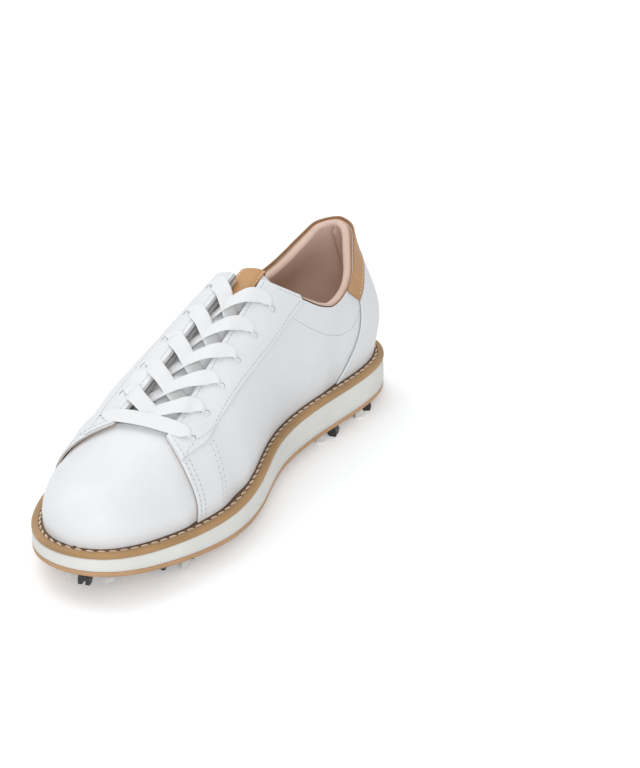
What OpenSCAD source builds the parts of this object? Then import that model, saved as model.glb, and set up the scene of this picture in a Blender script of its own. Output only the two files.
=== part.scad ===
// Golf shoe for the right foot: leather derby upper, stitched welt, two-layer sole, screw-in cleats.
// +X is the medial side, the toe points to -Y, and the cleats stand on the plane z = 0.

/* [Overall size] */
// Length of the sole from toe to heel
shoe_length = 300; // [240:1:370]
// Width of the sole across the ball of the foot
shoe_width = 104; // [85:1:126]
// Height of the back of the collar above the ground
collar_height = 102; // [84:1:124]

/* [Sole] */
// Thickness of the outsole sheet
outsole_t = 3; // [2:0.5:5]
// Thickness of the midsole at the toe
midsole_toe_t = 7; // [6:0.5:12]
// Thickness of the midsole at the heel
midsole_heel_t = 15.5; // [11:0.5:22]
// Rise of the sole at the tip of the toe
toe_spring = 9.5; // [4:0.5:16]
// Thickness of the welt
welt_t = 3; // [2:0.5:4]
// Width of the welt that shows outside the upper
welt_show = 6; // [4:0.5:9]
// Width of the welt that lies under the upper
welt_under = 5; // [4:0.5:7]
// Number of stitches around the welt
welt_stitches = 128; // [80:2:180]
// Thickness of the welt thread
thread_d = 1.1; // [0.8:0.1:1.6]
// Thickness of the insole board
board_t = 2; // [1.5:0.5:3]
// Thickness of the removable sock liner
liner_t = 4; // [3:0.5:6]
// Width of the steel shank
shank_w = 14; // [10:1:20]
// Thickness of the steel shank
shank_t = 1.2; // [0.8:0.1:2]

/* [Cleats] */
// Distance from the outsole down to the tips of the cleats
cleat_h = 6; // [5:0.5:9]
// Diameter over the legs of a cleat
cleat_d = 28; // [24:1:32]
// Diameter of the hub of a cleat
hub_d = 17; // [15:1:20]
// Thickness of the hub of a cleat
hub_t = 1.8; // [1.4:0.2:3]
// Width of a leg of a cleat
leg_w = 6; // [4:0.5:7]
// Diameter of the stud that holds a cleat
stud_d = 10; // [8:0.5:11]
// Length of the stud
stud_l = 6; // [5:0.5:7]
// Diameter of the socket that takes the stud
socket_d = 16; // [14:0.5:18]
// Height of the socket
socket_h = 8; // [7.5:0.5:8.5]
// Radial clearance of the stud in its socket
stud_fit = 0.05; // [0.02:0.01:0.1]

/* [Upper] */
// Thickness of the leather
leather_t = 1.4; // [1:0.1:2]
// Thickness of the pieces stitched on top
overlay_t = 1.2; // [0.8:0.1:1.8]
// Thickness of the stiffeners at the toe and the heel
stiffener_t = 1.3; // [0.8:0.1:1.8]
// Thickness of the lining
lining_t = 1; // [0.6:0.1:1.6]
// Thickness of the padding in the collar
padding_t = 4.5; // [2:0.5:7]
// Clearance between the layers
layer_gap = 0.2; // [0.1:0.05:0.4]
// Half width of the gap in the lacing at the throat
gap_toe = 14.5; // [10:0.5:18]
// Half width of the gap in the lacing at the top
gap_top = 7; // [4:0.5:10]
// Width of the eyestay, seen from above
eyestay_w = 16.5; // [14:0.5:20]
// Distance of the eyelets from the edge of the eyestay, seen from above
eyelet_inset = 9; // [6:0.5:10]
// Diameter of an eyelet hole
eyelet_d = 4.4; // [4:0.1:5.5]

/* [Tongue] */
// Thickness of the tongue's padding
tongue_pad_t = 3.5; // [2:0.5:6]
// Half width of the tongue, seen from above
tongue_w = 27; // [22:1:30]
// Half width of the tab at the top of the tongue
tab_w = 8.5; // [5:0.5:12]

/* [Laces] */
// Width of the flat lace
lace_w = 7.5; // [5:0.5:9]
// Thickness of the flat lace
lace_t = 1.1; // [0.8:0.1:1.4]

/* [Hidden] */
CLEATS = 9;
$fn = 48;

white_leather = [0.93, 0.935, 0.945];
tan_leather = [0.79, 0.58, 0.37];
tan_rubber = [0.76, 0.6, 0.44];
off_white = [0.9, 0.9, 0.87];
lining_pink = [0.84, 0.74, 0.67];
foam_grey = [0.62, 0.62, 0.64];
cork_brown = [0.6, 0.45, 0.3];

// ---------- curves ----------

function unit(v) = v / norm(v);
function mix(a, b, t) = a + (b - a) * t;
function ease(t) = let (c = max(0, min(1, t))) c * c * (3 - 2 * c);

// Uniform cubic B-spline weights of the four controls around a point
function weights(f) = [pow(1 - f, 3) / 6, (3 * f * f * f - 6 * f * f + 4) / 6,
    (-3 * f * f * f + 3 * f * f + 3 * f + 1) / 6, f * f * f / 6];

// Closed curve through a ring of controls
function ring_at(c, u) =
    let (n = len(c), i = floor(u), k = weights(u - i))
    k[0] * c[(i - 1 + n) % n] + k[1] * c[i % n] + k[2] * c[(i + 1) % n] + k[3] * c[(i + 2) % n];

// Curve over ten stations from toe (w = 0) to heel (w = 1); it starts level, or from zero when rising
function along(c, w, rising = false) =
    let (n = len(c), u = w * (n - 0.5), i = min(n - 1, floor(u)), k = weights(u - i))
    let (before = rising ? 2 * c[0] - c[1] : c[1])
    let (e = concat([before], c, [c[n - 1], c[n - 2], c[n - 3]]))
    k[0] * e[i] + k[1] * e[i + 1] + k[2] * e[i + 2] + k[3] * e[i + 3];

// Curve through open controls, with its ends held
function path_at(c, t) =
    let (e = concat([2 * c[0] - c[1]], c, [2 * c[len(c) - 1] - c[len(c) - 2]]))
    let (u = t * (len(c) - 1), i = min(len(c) - 2, floor(u)), k = weights(u - i))
    k[0] * e[i] + k[1] * e[i + 1] + k[2] * e[i + 2] + k[3] * e[i + 3];

// ---------- plan of the sole ----------

// Controls of the outline, toe to heel along the medial side and back along the lateral side
PLAN = [
    [5, -153], [28, -140.5], [42, -106], [51.5, -68], [46.5, -31], [31.5, 7], [31.5, 49], [37.5, 91],
    [37.5, 128.5], [16, 151], [-15.5, 151], [-38.5, 128.5], [-43.5, 91], [-45.5, 49.5], [-50.5, 5],
    [-55.5, -38], [-52.5, -78.5], [-42, -117], [-22, -146]
];
TURNS = len(PLAN) / 2;
plan_points = [for (k = [0:189]) ring_at(PLAN, k / 10)];
plan_min = [min([for (p = plan_points) p[0]]), min([for (p = plan_points) p[1]])];
plan_max = [max([for (p = plan_points) p[0]]), max([for (p = plan_points) p[1]])];
plan_scale = [shoe_width / (plan_max[0] - plan_min[0]), shoe_length / (plan_max[1] - plan_min[1])];
plan_centre = (plan_min + plan_max) / 2;

// A point given on the plan, brought to the size of this shoe
function placed(p) = [(p[0] - plan_centre[0]) * plan_scale[0], (p[1] - plan_centre[1]) * plan_scale[1]];
// q runs once round the shoe: 0 toe, 0..1 medial side, 1 heel, 1..2 lateral side
function turn(q) = q - 2 * floor(q / 2);
function station(q) = let (t = turn(q)) t <= 1 ? t : 2 - t;
function edge_raw(q) = placed(ring_at(PLAN, turn(q) * TURNS));
function edge(q, inset = 0) =
    let (d = unit(edge_raw(q + 0.001) - edge_raw(q - 0.001)))
    edge_raw(q) - inset * [d[1], -d[0]];

// ---------- heights of the sole ----------

function run(y) = max(0, min(1, y / shoe_length + 0.5));
SPRING_END = 0.36;
function outsole_z(y) = cleat_h + toe_spring * pow(max(0, 1 - run(y) / SPRING_END), 2);
function midsole_t(y) =
    mix(midsole_toe_t, midsole_heel_t, pow(sin(90 * min(1, run(y) / 0.72)), 1.5));
function midsole_z(y) = outsole_z(y) + outsole_t;
function welt_z(y) = midsole_z(y) + midsole_t(y);
function feather_z(y) = welt_z(y) + welt_t;

// ---------- shape of the upper ----------

// Rise of the ridge over the feather line, from toe to heel; it goes on upwards over the opening
RISE = [0, 23, 28.5, 40, 54.5, 68, 84, 102, 118, 122];
// Sideways place of the ridge against the middle of the section
RIDGE = [0, 1, 3, 2.5, 5.5, 9.5, 7, 3, 0.5, 0];
// Squareness of the sections, sideways and upwards
SIDE_POWER = [0.8, 0.8, 0.8, 0.78, 0.76, 0.8, 0.95, 1, 1, 1];
RISE_POWER = [0.85, 0.88, 0.92, 0.95, 1, 1, 1, 1, 1, 1];
// Swell of the sides
SWELL_MEDIAL = [1, 1.5, 2.5, 3, 4, 9, 8, 8, 11, 11.5];
SWELL_LATERAL = [1, 1.5, 2, 2, 2, 1.5, 2.5, 7.5, 11, 11.5];
HEEL_AXIS = 104 / 300;
HEEL_BEND = 9;

rise_scale = (collar_height - feather_z(shoe_length / 2)) / 74.5;
welt_top_gap = 0.1;

// Inset of the base surface at the feather line, so that the outermost layer ends at the same line
function feather_inset(w) = welt_show + leather_t
    + (leather_t + layer_gap) * ease((w - 0.23) / 0.03) * (1 - ease((w - 0.34) / 0.06))
    + (overlay_t + layer_gap) * ease((w - 0.66) / 0.05);
function feather(q) = edge(q, feather_inset(station(q)));
function mid_edge(q) = (feather(station(q)) + feather(2 - station(q))) / 2;
function ridge(q) =
    let (m = mid_edge(q), past = (m[1] - HEEL_AXIS * shoe_length) / HEEL_BEND)
    [m[0] + along(RIDGE, station(q), true), m[1] - HEEL_BEND * ln(1 + exp(past))];
function ridge_z(q) = feather_z(mid_edge(q)[1]) + rise_scale * along(RISE, station(q), true);

// The collar narrows towards its topline behind the ankle: how much, by station, and from which rise on
TAPER = [[0.69, 0], [0.75, 0.26], [0.8, 0.4], [0.86, 0.43], [0.93, 0.31], [1, 0.21]];
TAPER_FROM = 0.17;
TAPER_TO = 0.62;

// Point of the base surface: phi is 0 at the feather line and 90 at the ridge
function base(q, phi) =
    let (f = feather(q), r = ridge(q), w = station(q), s = turn(q) <= 1 ? 1 : -1)
    let (c = pow(cos(phi), along(SIDE_POWER, w)), h = pow(sin(phi), along(RISE_POWER, w)))
    let (swell = along(s > 0 ? SWELL_MEDIAL : SWELL_LATERAL, w) * sin(2 * phi) * cos(phi))
    let (kept = 1 - smoothed(TAPER, w, 0.03) * ease((h - TAPER_FROM) / (TAPER_TO - TAPER_FROM)))
    let (d = f - r, p = r + (d * c + swell * d / max(0.001, norm(d))) * kept, zf = feather_z(f[1]))
    [p[0], p[1], zf + welt_top_gap + (ridge_z(q) - zf) * h];

function side_normal(q, phi) =
    let (a = min(88, phi), du = base(q + 0.002, a) - base(q - 0.002, a))
    let (dv = base(q, a + 1) - base(q, max(0, a - 1)))
    unit(cross(du, dv));
function levelled(n, phi) = unit([n[0], n[1], n[2] * ease(phi / 12)]);
function out(q, phi) =
    station(q) < 0.006 ? [0, -1, 0] :
    phi < 12 ? levelled(side_normal(q, phi), phi) :
    phi > 88 ? unit(side_normal(station(q), 88) + side_normal(2 - station(q), 88)) : side_normal(q, phi);
// Point at a distance outside the base surface
function skin(q, phi, lift) = base(q, phi) + lift * out(q, phi);
function pair(q, phi, low, high) = [skin(q, phi, high), skin(q, phi, low)];

// Angle at which the section stands at a height
function phi_at_z(q, z) =
    let (f = feather(q), zf = feather_z(f[1]))
    let (h = max(0, min(1, (z - zf) / (ridge_z(q) - zf))))
    asin(pow(h, 1 / along(RISE_POWER, station(q))));
// Angle at which the section stands at a distance from the ridge, seen from above
function phi_at_width(q, x, low = 0, high = 90, n = 14) =
    let (m = (low + high) / 2)
    n == 0 ? m :
    norm([for (k = [0:1]) base(q, m)[k] - ridge(q)[k]]) > x ?
        phi_at_width(q, x, m, high, n - 1) : phi_at_width(q, x, low, m, n - 1);

// ---------- lines on the upper ----------

THROAT = 0.297;
GAP_END = 0.59;
VAMP_END = 0.302;
// Height of the topline over the feather, by station
TOPLINE = [
    [0.5, 120], [0.583, 79], [0.606, 71], [0.629, 64.5], [0.661, 55], [0.697, 49], [0.73, 48.8],
    [0.76, 50.5], [0.79, 54.5], [0.84, 63], [0.92, 73.5], [1, 75]
];
// The lateral side of the collar is a little lower
LATERAL_DROP = 2;
function smoothed(table, w, r) =
    (lookup(w - r, table) + lookup(w - r / 2, table) + 2 * lookup(w, table)
    + lookup(w + r / 2, table) + lookup(w + r, table)) / 6;
function top_z(q) =
    let (w = station(q), drop = turn(q) > 1 ? LATERAL_DROP * ease((w - 0.6) / 0.1) * ease((1 - w) / 0.12) : 0)
    feather_z(feather(q)[1]) + rise_scale * (smoothed(TOPLINE, w, 0.012) - drop);
function gap_half(w) = mix(gap_toe, gap_top, (w - THROAT) / (GAP_END - THROAT));
function gap_phi(q) = phi_at_width(q, max(gap_top, gap_half(station(q))));
function upper_phi(q) = station(q) < 0.56 ? gap_phi(q) : min(gap_phi(q), phi_at_z(q, top_z(q)));
// Front edge of the quarters
function front(phi) = 0.255 + 0.042 * pow(max(0, phi - 25) / 53, 2);
// The quarters ride over the vamp in front and drop to the base surface behind it
function over_vamp(w) = (leather_t + layer_gap) * (1 - ease((w - VAMP_END) / 0.07));
// Lower edge of the tan strip, as a height over the feather
STRIP_LOW = [[0.7, 32], [0.777, 41], [0.85, 51], [1, 58.5]];
STRIP_FRONT = 0.777;
STRIP_LEAN = 0.031;
SEAM_LEAN = 0.074;
function strip_phi(q) =
    phi_at_z(q, feather_z(feather(q)[1]) + rise_scale * smoothed(STRIP_LOW, station(q), 0.02));
// Thickness between leather and lining: stiffener everywhere, padding near the topline of the collar
function pad_depth(q, phi) =
    let (below = top_z(q) - base(q, phi)[2], w = station(q))
    stiffener_t + (padding_t - stiffener_t) * ease((w - 0.635) / 0.05) * ease((26 - below) / 16);
function lining_lift(q, phi) = -(pad_depth(q, phi) + 2 * layer_gap);

// ---------- solids from points ----------

function volume6(p, f) = p[f[0]] * cross(p[f[1]], p[f[2]]);
function total(v, i = 0, s = 0) = i >= len(v) ? s : total(v, i + 1, s + v[i]);
function turned(f) = [for (a = f) [a[2], a[1], a[0]]];

// Solid from triangles, whichever way they were listed
module solid(points, faces) {
    inward = total([for (f = faces) volume6(points, f)]) > 0;
    polyhedron(points, inward ? turned(faces) : faces, convexity = 6);
}

// Sheet from rows of [outside, inside] pairs; with a pole the first row is one point
module sheet(rows, pole = false) {
    m = len(rows[0]);
    n = len(rows);
    first = pole ? 1 : 0;
    grid = [for (i = [first:n - 1]) for (j = [0:m - 1]) rows[i][j]];
    cells = concat(pole ? [rows[0][0]] : [], grid);
    count = len(cells);
    function at(i, j) = !pole ? i * m + j : i == 0 ? 0 : 1 + (i - 1) * m + j;
    tip = pole ? [for (j = [0:m - 2]) [0, at(1, j + 1), at(1, j)]] : [];
    body = [for (i = [first:n - 2]) for (j = [0:m - 2]) for (k = [0:1])
        k == 0 ? [at(i, j), at(i, j + 1), at(i + 1, j)] : [at(i, j + 1), at(i + 1, j + 1), at(i + 1, j)]];
    top = concat(tip, body);
    rim = concat(
        [for (j = [0:m - 1]) at(n - 1, j)],
        [for (i = [n - 2:-1:first]) at(i, m - 1)],
        pole ? [0] : [for (j = [m - 2:-1:1]) at(0, j)],
        [for (i = [first:n - 2]) at(i, 0)]
    );
    wall = [for (k = [0:len(rim) - 1]) for (h = [0:1])
        let (a = rim[k], b = rim[(k + 1) % len(rim)])
        h == 0 ? [a, b, b + count] : [a, b + count, a + count]];
    bottom = [for (f = top) [f[2] + count, f[1] + count, f[0] + count]];
    solid(concat([for (c = cells) c[0]], [for (c = cells) c[1]]), concat(top, bottom, wall));
}

RING = 96;
// Ring round the plan at an inset, at a height over a given level
function level(inset, z) =
    [for (k = [0:RING - 1]) let (p = edge(2 * k / RING, inset)) [p[0], p[1], z(p[1])]];

// Slab from stacked rings of the same count
module slab(rings) {
    n = RING;
    last = (len(rings) - 1) * n;
    function cap(o) = concat(
        [for (k = [0:n / 2 - 1]) [o + k, o + k + 1, o + (n - k - 1)]],
        [for (k = [1:n / 2 - 1]) [o + k, o + n - k - 1, o + n - k]]
    );
    clean = [for (f = cap(0)) if (f[0] != f[1] && f[1] != f[2] && f[0] != f[2]) f];
    side = [for (i = [0:len(rings) - 2]) for (k = [0:n - 1]) for (h = [0:1])
        let (a = i * n + k, b = i * n + (k + 1) % n)
        h == 0 ? [a, b + n, b] : [a, a + n, b + n]];
    solid([for (r = rings) for (p = r) p],
        concat(clean, [for (f = clean) [f[2] + last, f[1] + last, f[0] + last]], side));
}

// Closed hoop from a profile of [inset, height over the midsole]
module hoop(profile) {
    m = len(profile);
    points = [for (k = [0:RING - 1]) for (p = profile)
        let (e = edge(2 * k / RING, p[0])) [e[0], e[1], welt_z(e[1]) + p[1]]];
    faces = [for (k = [0:RING - 1]) for (j = [0:m - 1]) for (h = [0:1])
        let (a = k * m + j, b = k * m + (j + 1) % m, c = (k + 1) % RING * m)
        let (d = c + j, e = c + (j + 1) % m)
        h == 0 ? [a, b, e] : [a, e, d]];
    solid(points, faces);
}

// Bar along the shoe, with its height given by a level
module bar(x, half, y0, y1, low, high, z) {
    n = 12;
    points = [for (i = [0:n]) let (y = mix(y0, y1, i / n)) for (c = [[-1, low], [1, low], [1, high], [-1, high]])
        [x + c[0] * half, y, z(y) + c[1]]];
    ends = [[0, 1, 2], [0, 2, 3], [4 * n, 4 * n + 2, 4 * n + 1], [4 * n, 4 * n + 3, 4 * n + 2]];
    side = [for (i = [0:n - 1]) for (j = [0:3]) for (h = [0:1])
        let (a = 4 * i + j, b = 4 * i + (j + 1) % 4)
        h == 0 ? [a, a + 4, b + 4] : [a, b + 4, b]];
    solid(points, concat(ends, side));
}

// ---------- sole ----------

module outsole() color(tan_rubber) difference() {
    slab([
        level(1.2, function (y) outsole_z(y)),
        level(0.2, function (y) outsole_z(y) + 0.8),
        level(0, function (y) midsole_z(y) - layer_gap / 2)
    ]);
    socket_holes();
}

module midsole() color(off_white) difference() {
    slab([
        level(0, function (y) midsole_z(y)),
        level(0.4, function (y) mix(midsole_z(y), welt_z(y), 0.4)),
        level(0.5, function (y) welt_z(y) - layer_gap / 2)
    ]);
    socket_holes();
}

GROOVE_W = 1.6;
GROOVE_D = 0.7;
stitch_inset = welt_show - 0.8 - GROOVE_W / 2;
module welt() color(tan_leather) hoop([
    [0.9, 0], [0.1, 0.8], [0.1, welt_t - 1], [0.9, welt_t],
    [stitch_inset - GROOVE_W / 2, welt_t], [stitch_inset - GROOVE_W / 4, welt_t - GROOVE_D],
    [stitch_inset + GROOVE_W / 4, welt_t - GROOVE_D], [stitch_inset + GROOVE_W / 2, welt_t],
    [welt_show + welt_under, welt_t], [welt_show + welt_under, 0]
]);

STITCH_FILL = 0.72;
module welt_stitching() color([0.85, 0.73, 0.6])
    for (k = [0:welt_stitches - 1]) {
        a = edge(2 * k / welt_stitches, stitch_inset);
        b = edge(2 * (k + STITCH_FILL) / welt_stitches, stitch_inset);
        base_z = feather_z(a[1]) - GROOVE_D + thread_d / 2 + 0.02;
        slope = feather_z(b[1]) - feather_z(a[1]);
        heading = atan2(b[1] - a[1], b[0] - a[0]);
        translate([a[0], a[1], base_z])
            rotate([0, 90 - asin(slope / norm([b[0] - a[0], b[1] - a[1], slope])), heading])
                cylinder(d = thread_d, h = norm(b - a), $fn = 16);
    }

inner_edge = welt_show + welt_under + layer_gap;
shank_x = placed([-3, 0])[0];
shank_y = [placed([0, -30])[1], placed([0, 75])[1]];
module filler() color(cork_brown) difference() {
    slab([
        level(inner_edge, function (y) welt_z(y)),
        level(inner_edge, function (y) feather_z(y))
    ]);
    bar(shank_x, shank_w / 2 + layer_gap, shank_y[0] - layer_gap, shank_y[1] + layer_gap,
        -shank_t - layer_gap, 1, function (y) feather_z(y));
}

module shank() color([0.6, 0.62, 0.65])
    bar(shank_x, shank_w / 2, shank_y[0], shank_y[1], -shank_t, 0, function (y) feather_z(y));

// The board and the sock liner lie inside the lining
board_edge = stiffener_t + lining_t + 2 * layer_gap + 0.6;
board_gap = 0.1;
function inner_level(inset, z) = [for (k = [0:RING - 1])
    let (q = 2 * k / RING, p = edge(q, feather_inset(station(q)) + inset)) [p[0], p[1], feather_z(p[1]) + z]];
module insole_board() color([0.72, 0.63, 0.5])
    slab([inner_level(board_edge, board_gap), inner_level(board_edge, board_gap + board_t)]);

liner_gap = 0.3;
liner_low = board_gap + board_t + liner_gap;
liner_edge = board_edge + 0.8;
module sock_liner() color([0.86, 0.77, 0.66]) slab([
    inner_level(liner_edge + 0.4, liner_low),
    inner_level(liner_edge, liner_low + 0.8),
    inner_level(liner_edge, liner_low + liner_t - 1),
    inner_level(liner_edge + 1, liner_low + liner_t)
]);

// ---------- cleats ----------

// Places of the cleats on the plan, each with the turn of its black legs
CLEAT_PLACES = [
    [5.5, -132, 46], [25.5, -95, 45], [-26, -97, 10], [26, -52, 20], [-32, -52, 80],
    [20.4, 68, 13], [-22, 70, 50], [22.5, 103, 29], [-20.5, 107, 95]
];
cleat_gap = 0.3;
hole_gap = 0.1;

// Puts its children under the sole at a cleat, with +Z square to the sole
module at_cleat(k) {
    p = placed(CLEAT_PLACES[k]);
    tilt = atan2(outsole_z(p[1] + 1) - outsole_z(p[1] - 1), 2);
    translate([p[0], p[1], outsole_z(p[1])]) rotate([tilt, 0, 0]) children();
}

module socket_holes()
    for (k = [0:CLEATS - 1]) at_cleat(k)
        translate([0, 0, -2]) cylinder(d = socket_d + 2 * hole_gap, h = socket_h + 2 + hole_gap);

BEAD = 0.6;
bead_z = stud_l - 2;
module cleat_sockets() color([0.25, 0.25, 0.26])
    for (k = [0:CLEATS - 1]) at_cleat(k) difference() {
        cylinder(d = socket_d, h = socket_h);
        translate([0, 0, -1]) cylinder(d = stud_d + 2 * stud_fit, h = stud_l + 1.3);
        translate([0, 0, bead_z - 0.1]) cylinder(d = stud_d + 2 * BEAD + 2 * stud_fit, h = 1.2);
    }

// Side view of a leg, from the hub outwards and down
leg_inner = hub_d / 2;
leg_outer = cleat_d / 2;
function leg_profile(inner, foot, root) = [
    [inner, -cleat_gap - root], [leg_outer - 1.5, -cleat_gap], [leg_outer, -cleat_h / 2],
    [leg_outer - 0.6, -cleat_h], [leg_outer - foot, -cleat_h], [inner, -cleat_gap - hub_t + root]
];
module leg(angle, inner, foot, w, root = 0) rotate([0, 0, angle]) translate([0, w / 2, 0]) rotate([90, 0, 0])
    linear_extrude(height = w) polygon(leg_profile(inner, foot, root));

HOLE_RING = 5.6;
LEG_ROOT = 0.4;
function dark_turn(k) = CLEAT_PLACES[k][2];
module cleat(k) color([0.13, 0.13, 0.14]) at_cleat(k) difference() {
    union() {
        translate([0, 0, -cleat_gap - hub_t]) cylinder(d = hub_d, h = hub_t);
        translate([0, 0, -cleat_gap - 0.1]) cylinder(d = stud_d, h = stud_l + cleat_gap + 0.1);
        translate([0, 0, bead_z]) cylinder(d = stud_d + 2 * BEAD, h = 1);
        for (i = [0:2]) leg(dark_turn(k) + 120 * i, leg_inner - 1.5, 4.5, leg_w, LEG_ROOT);
    }
    for (i = [0:2]) rotate([0, 0, dark_turn(k) + 120 * i])
        translate([leg_inner - 1, -0.9, -cleat_h - 1]) cube([leg_outer, 1.8, 3.2]);
    for (i = [0:2]) rotate([0, 0, dark_turn(k) + 120 * i + 60])
        translate([HOLE_RING, 0, -cleat_gap - hub_t - 1]) cylinder(d = 2.2, h = hub_t);
}

module cleat_legs(k) color(off_white) at_cleat(k)
    for (i = [0:2]) leg(dark_turn(k) + 60 + 120 * i, leg_inner + 0.02, 3, leg_w - 1);

// ---------- upper ----------

// Rows across the forefoot, from the lateral feather over the ridge to the medial feather
function cross_row(w, n, low, high) = [for (j = [-n:n])
    let (phi = 90 * (1 - abs(j) / n)) pair(j > 0 ? w : 2 - w, min(90, phi), low, high)];

module forefoot(w_end, n, m, low, high) sheet(
    [for (i = [0:n]) cross_row(w_end * pow(i / n, 1.3), m, low, high)], pole = true);

module vamp() color(white_leather) forefoot(VAMP_END, 18, 9, 0, leather_t);

inside = -stiffener_t - 2 * layer_gap;
module vamp_lining() color(lining_pink) forefoot(VAMP_END - 0.007, 14, 8, inside - lining_t, inside);

TOE_PUFF_END = 0.13;
module toe_puff() color(foam_grey) forefoot(TOE_PUFF_END, 9, 6, -stiffener_t - layer_gap, -layer_gap);

// Pairs at station w of one side; s is 1 medial, -1 lateral
function on_side(s, w) = s > 0 ? w : 2 - w;

QUARTER_ROWS = 46;
QUARTER_COLUMNS = 8;
module quarter(s) color(white_leather) difference() {
    sheet([for (i = [0:QUARTER_ROWS]) let (f = i / QUARTER_ROWS, w = mix(THROAT, 0.9992, f))
        [for (j = [0:QUARTER_COLUMNS])
            let (phi = upper_phi(on_side(s, w)) * j / QUARTER_COLUMNS)
            let (v = w + (front(phi) - THROAT) * pow(1 - f, 3), low = over_vamp(v))
            pair(on_side(s, v), phi, low, low + leather_t)]]);
    eyelet_holes(s);
}
module quarter_medial() quarter(1);
module quarter_lateral() quarter(-1);

function eyestay_phi(q) = phi_at_width(q, max(gap_top, gap_half(station(q))) + eyestay_w);
EYESTAY_ROWS = 26;
module eyestay(s) color(white_leather) difference() {
    sheet([for (i = [0:EYESTAY_ROWS]) let (f = i / EYESTAY_ROWS, w = mix(THROAT, 0.622, f))
        [for (j = [0:4])
            let (a = eyestay_phi(on_side(s, w)), phi = mix(a, max(a + 1, upper_phi(on_side(s, w))), j / 4))
            let (v = w + (front(phi) - THROAT) * pow(1 - f, 3), low = over_vamp(v) + leather_t + layer_gap)
            pair(on_side(s, v), phi, low, low + overlay_t)]]);
    eyelet_holes(s);
}
module eyestay_medial() eyestay(1);
module eyestay_lateral() eyestay(-1);

EYELETS = 6;
EYELET_FIRST = 0.31;
EYELET_PITCH = 0.052;
function eyelet_w(i) = EYELET_FIRST + EYELET_PITCH * i;
function eyelet_phi(q) = phi_at_width(q, gap_half(station(q)) + eyelet_inset);
function eyelet_q(s, i) = on_side(s, eyelet_w(i));

// Turns +Z onto a direction
module facing(d) rotate([0, acos(d[2] / norm(d)), atan2(d[1], d[0])]) children();

module eyelet_holes(s)
    for (i = [0:EYELETS - 1]) {
        q = eyelet_q(s, i);
        phi = eyelet_phi(q);
        translate(base(q, phi)) facing(out(q, phi))
            translate([0, 0, -5]) cylinder(d = eyelet_d, h = 12);
    }

LINING_ROWS = 64;
module quarter_lining() color(lining_pink) difference() {
    sheet([for (i = [0:LINING_ROWS]) let (q = mix(VAMP_END, 2 - VAMP_END, i / LINING_ROWS))
        [for (j = [0:10])
            let (phi = (upper_phi(q) - 0.5) * pow(j / 10, 0.85), lift = lining_lift(q, phi))
            pair(q, phi, lift - lining_t, lift)]]);
    eyelet_holes(1);
    eyelet_holes(-1);
}

overlay_low = leather_t + layer_gap;
module heel_panel() color(white_leather) sheet([for (i = [0:26])
    let (f = abs(i / 13 - 1), s = i < 13 ? 1 : -1, w = mix(1, STRIP_FRONT, f))
    [for (j = [0:6])
        let (t = j / 6, v = w - SEAM_LEAN * pow(1 - t, 1.2) * f * f, q = on_side(s, v))
        pair(q, (strip_phi(q) - 0.6) * t, overlay_low, overlay_low + overlay_t)]]);

module collar_strip() color(tan_leather) sheet([for (i = [0:26])
    let (f = abs(i / 13 - 1), s = i < 13 ? 1 : -1, w = mix(1, STRIP_FRONT, f))
    [for (j = [0:3])
        let (t = j / 3, v = w - STRIP_LEAN * t * f * f, q = on_side(s, v))
        pair(q, mix(strip_phi(q), phi_at_z(q, top_z(q)), t), overlay_low, overlay_low + overlay_t)]]);

STIFFENER_FRONT = 0.7;
STIFFENER_DROP = 22.5;
module heel_stiffener() color(foam_grey) sheet([for (i = [0:36])
    let (q = mix(STIFFENER_FRONT, 2 - STIFFENER_FRONT, i / 36))
    let (drop = phi_at_z(q, top_z(q) - STIFFENER_DROP))
    [for (j = [0:7]) pair(q, drop * j / 7, -stiffener_t - layer_gap, -layer_gap)]]);

module collar_padding() color(foam_grey) sheet([for (i = [0:32])
    let (q = mix(0.66, 1.34, i / 32))
    [for (j = [0:4])
        let (phi = phi_at_z(q, top_z(q) - mix(20, 1, j / 4)))
        pair(q, phi, 0.5 - pad_depth(q, phi) - layer_gap, -layer_gap)]]);

// ---------- tongue ----------

TONGUE_START = 0.304;
TONGUE_END = 0.612;
TAB_START = 0.565;
// Outside face of the tongue: clear of the lace that runs under the eyestays
function tongue_lift(w) = inside - lining_t - lace_t - 2 * LACE_CLEAR + 1.2 * ease((w - 0.575) / 0.03);
function tongue_half(w) = tongue_w - 3 * ease((w - 0.5) / 0.1);
module tongue_sheet(start, end, n, half_scale, low, high) sheet([for (i = [0:n])
    let (w = mix(start, end, i / n), o = tongue_lift(w), half = half_scale * tongue_half(w))
    [for (j = [-5:5])
        let (q = on_side(j > 0 ? 1 : -1, w), a = phi_at_width(q, half))
        pair(q, mix(90, a, abs(j) / 5), o + low, o + high)]]);

tongue_leather_t = 1.2;
module tongue() color(white_leather) tongue_sheet(TONGUE_START, TONGUE_END, 16, 1, -tongue_leather_t, 0);
module tongue_padding() color(foam_grey) tongue_sheet(TONGUE_START + 0.015, TONGUE_END - 0.005, 14, 0.94,
    -tongue_leather_t - layer_gap - tongue_pad_t, -tongue_leather_t - layer_gap);
tongue_lining_top = -tongue_leather_t - 2 * layer_gap - tongue_pad_t;
module tongue_lining() color(lining_pink) tongue_sheet(TONGUE_START + 0.005, TONGUE_END, 16, 0.97,
    tongue_lining_top - lining_t, tongue_lining_top);
module tongue_tab() color(tan_leather) tongue_sheet(TAB_START, TONGUE_END, 6, tab_w / tongue_half(TONGUE_END),
    layer_gap, layer_gap + overlay_t);

// ---------- lace ----------

LACE_CLEAR = 0.6;
lace_under = inside - lining_t - LACE_CLEAR - lace_t / 2;
eyestay_top = leather_t + layer_gap + overlay_t;
function lace_over(w) = over_vamp(w) + eyestay_top + LACE_CLEAR + lace_t / 2;
// Direction along the shoe on the surface
function lengthwise(q, phi) =
    let (s = turn(q) <= 1 ? 1 : -1) s * unit(base(q + 0.004, min(88, phi)) - base(q - 0.004, min(88, phi)));

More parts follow.
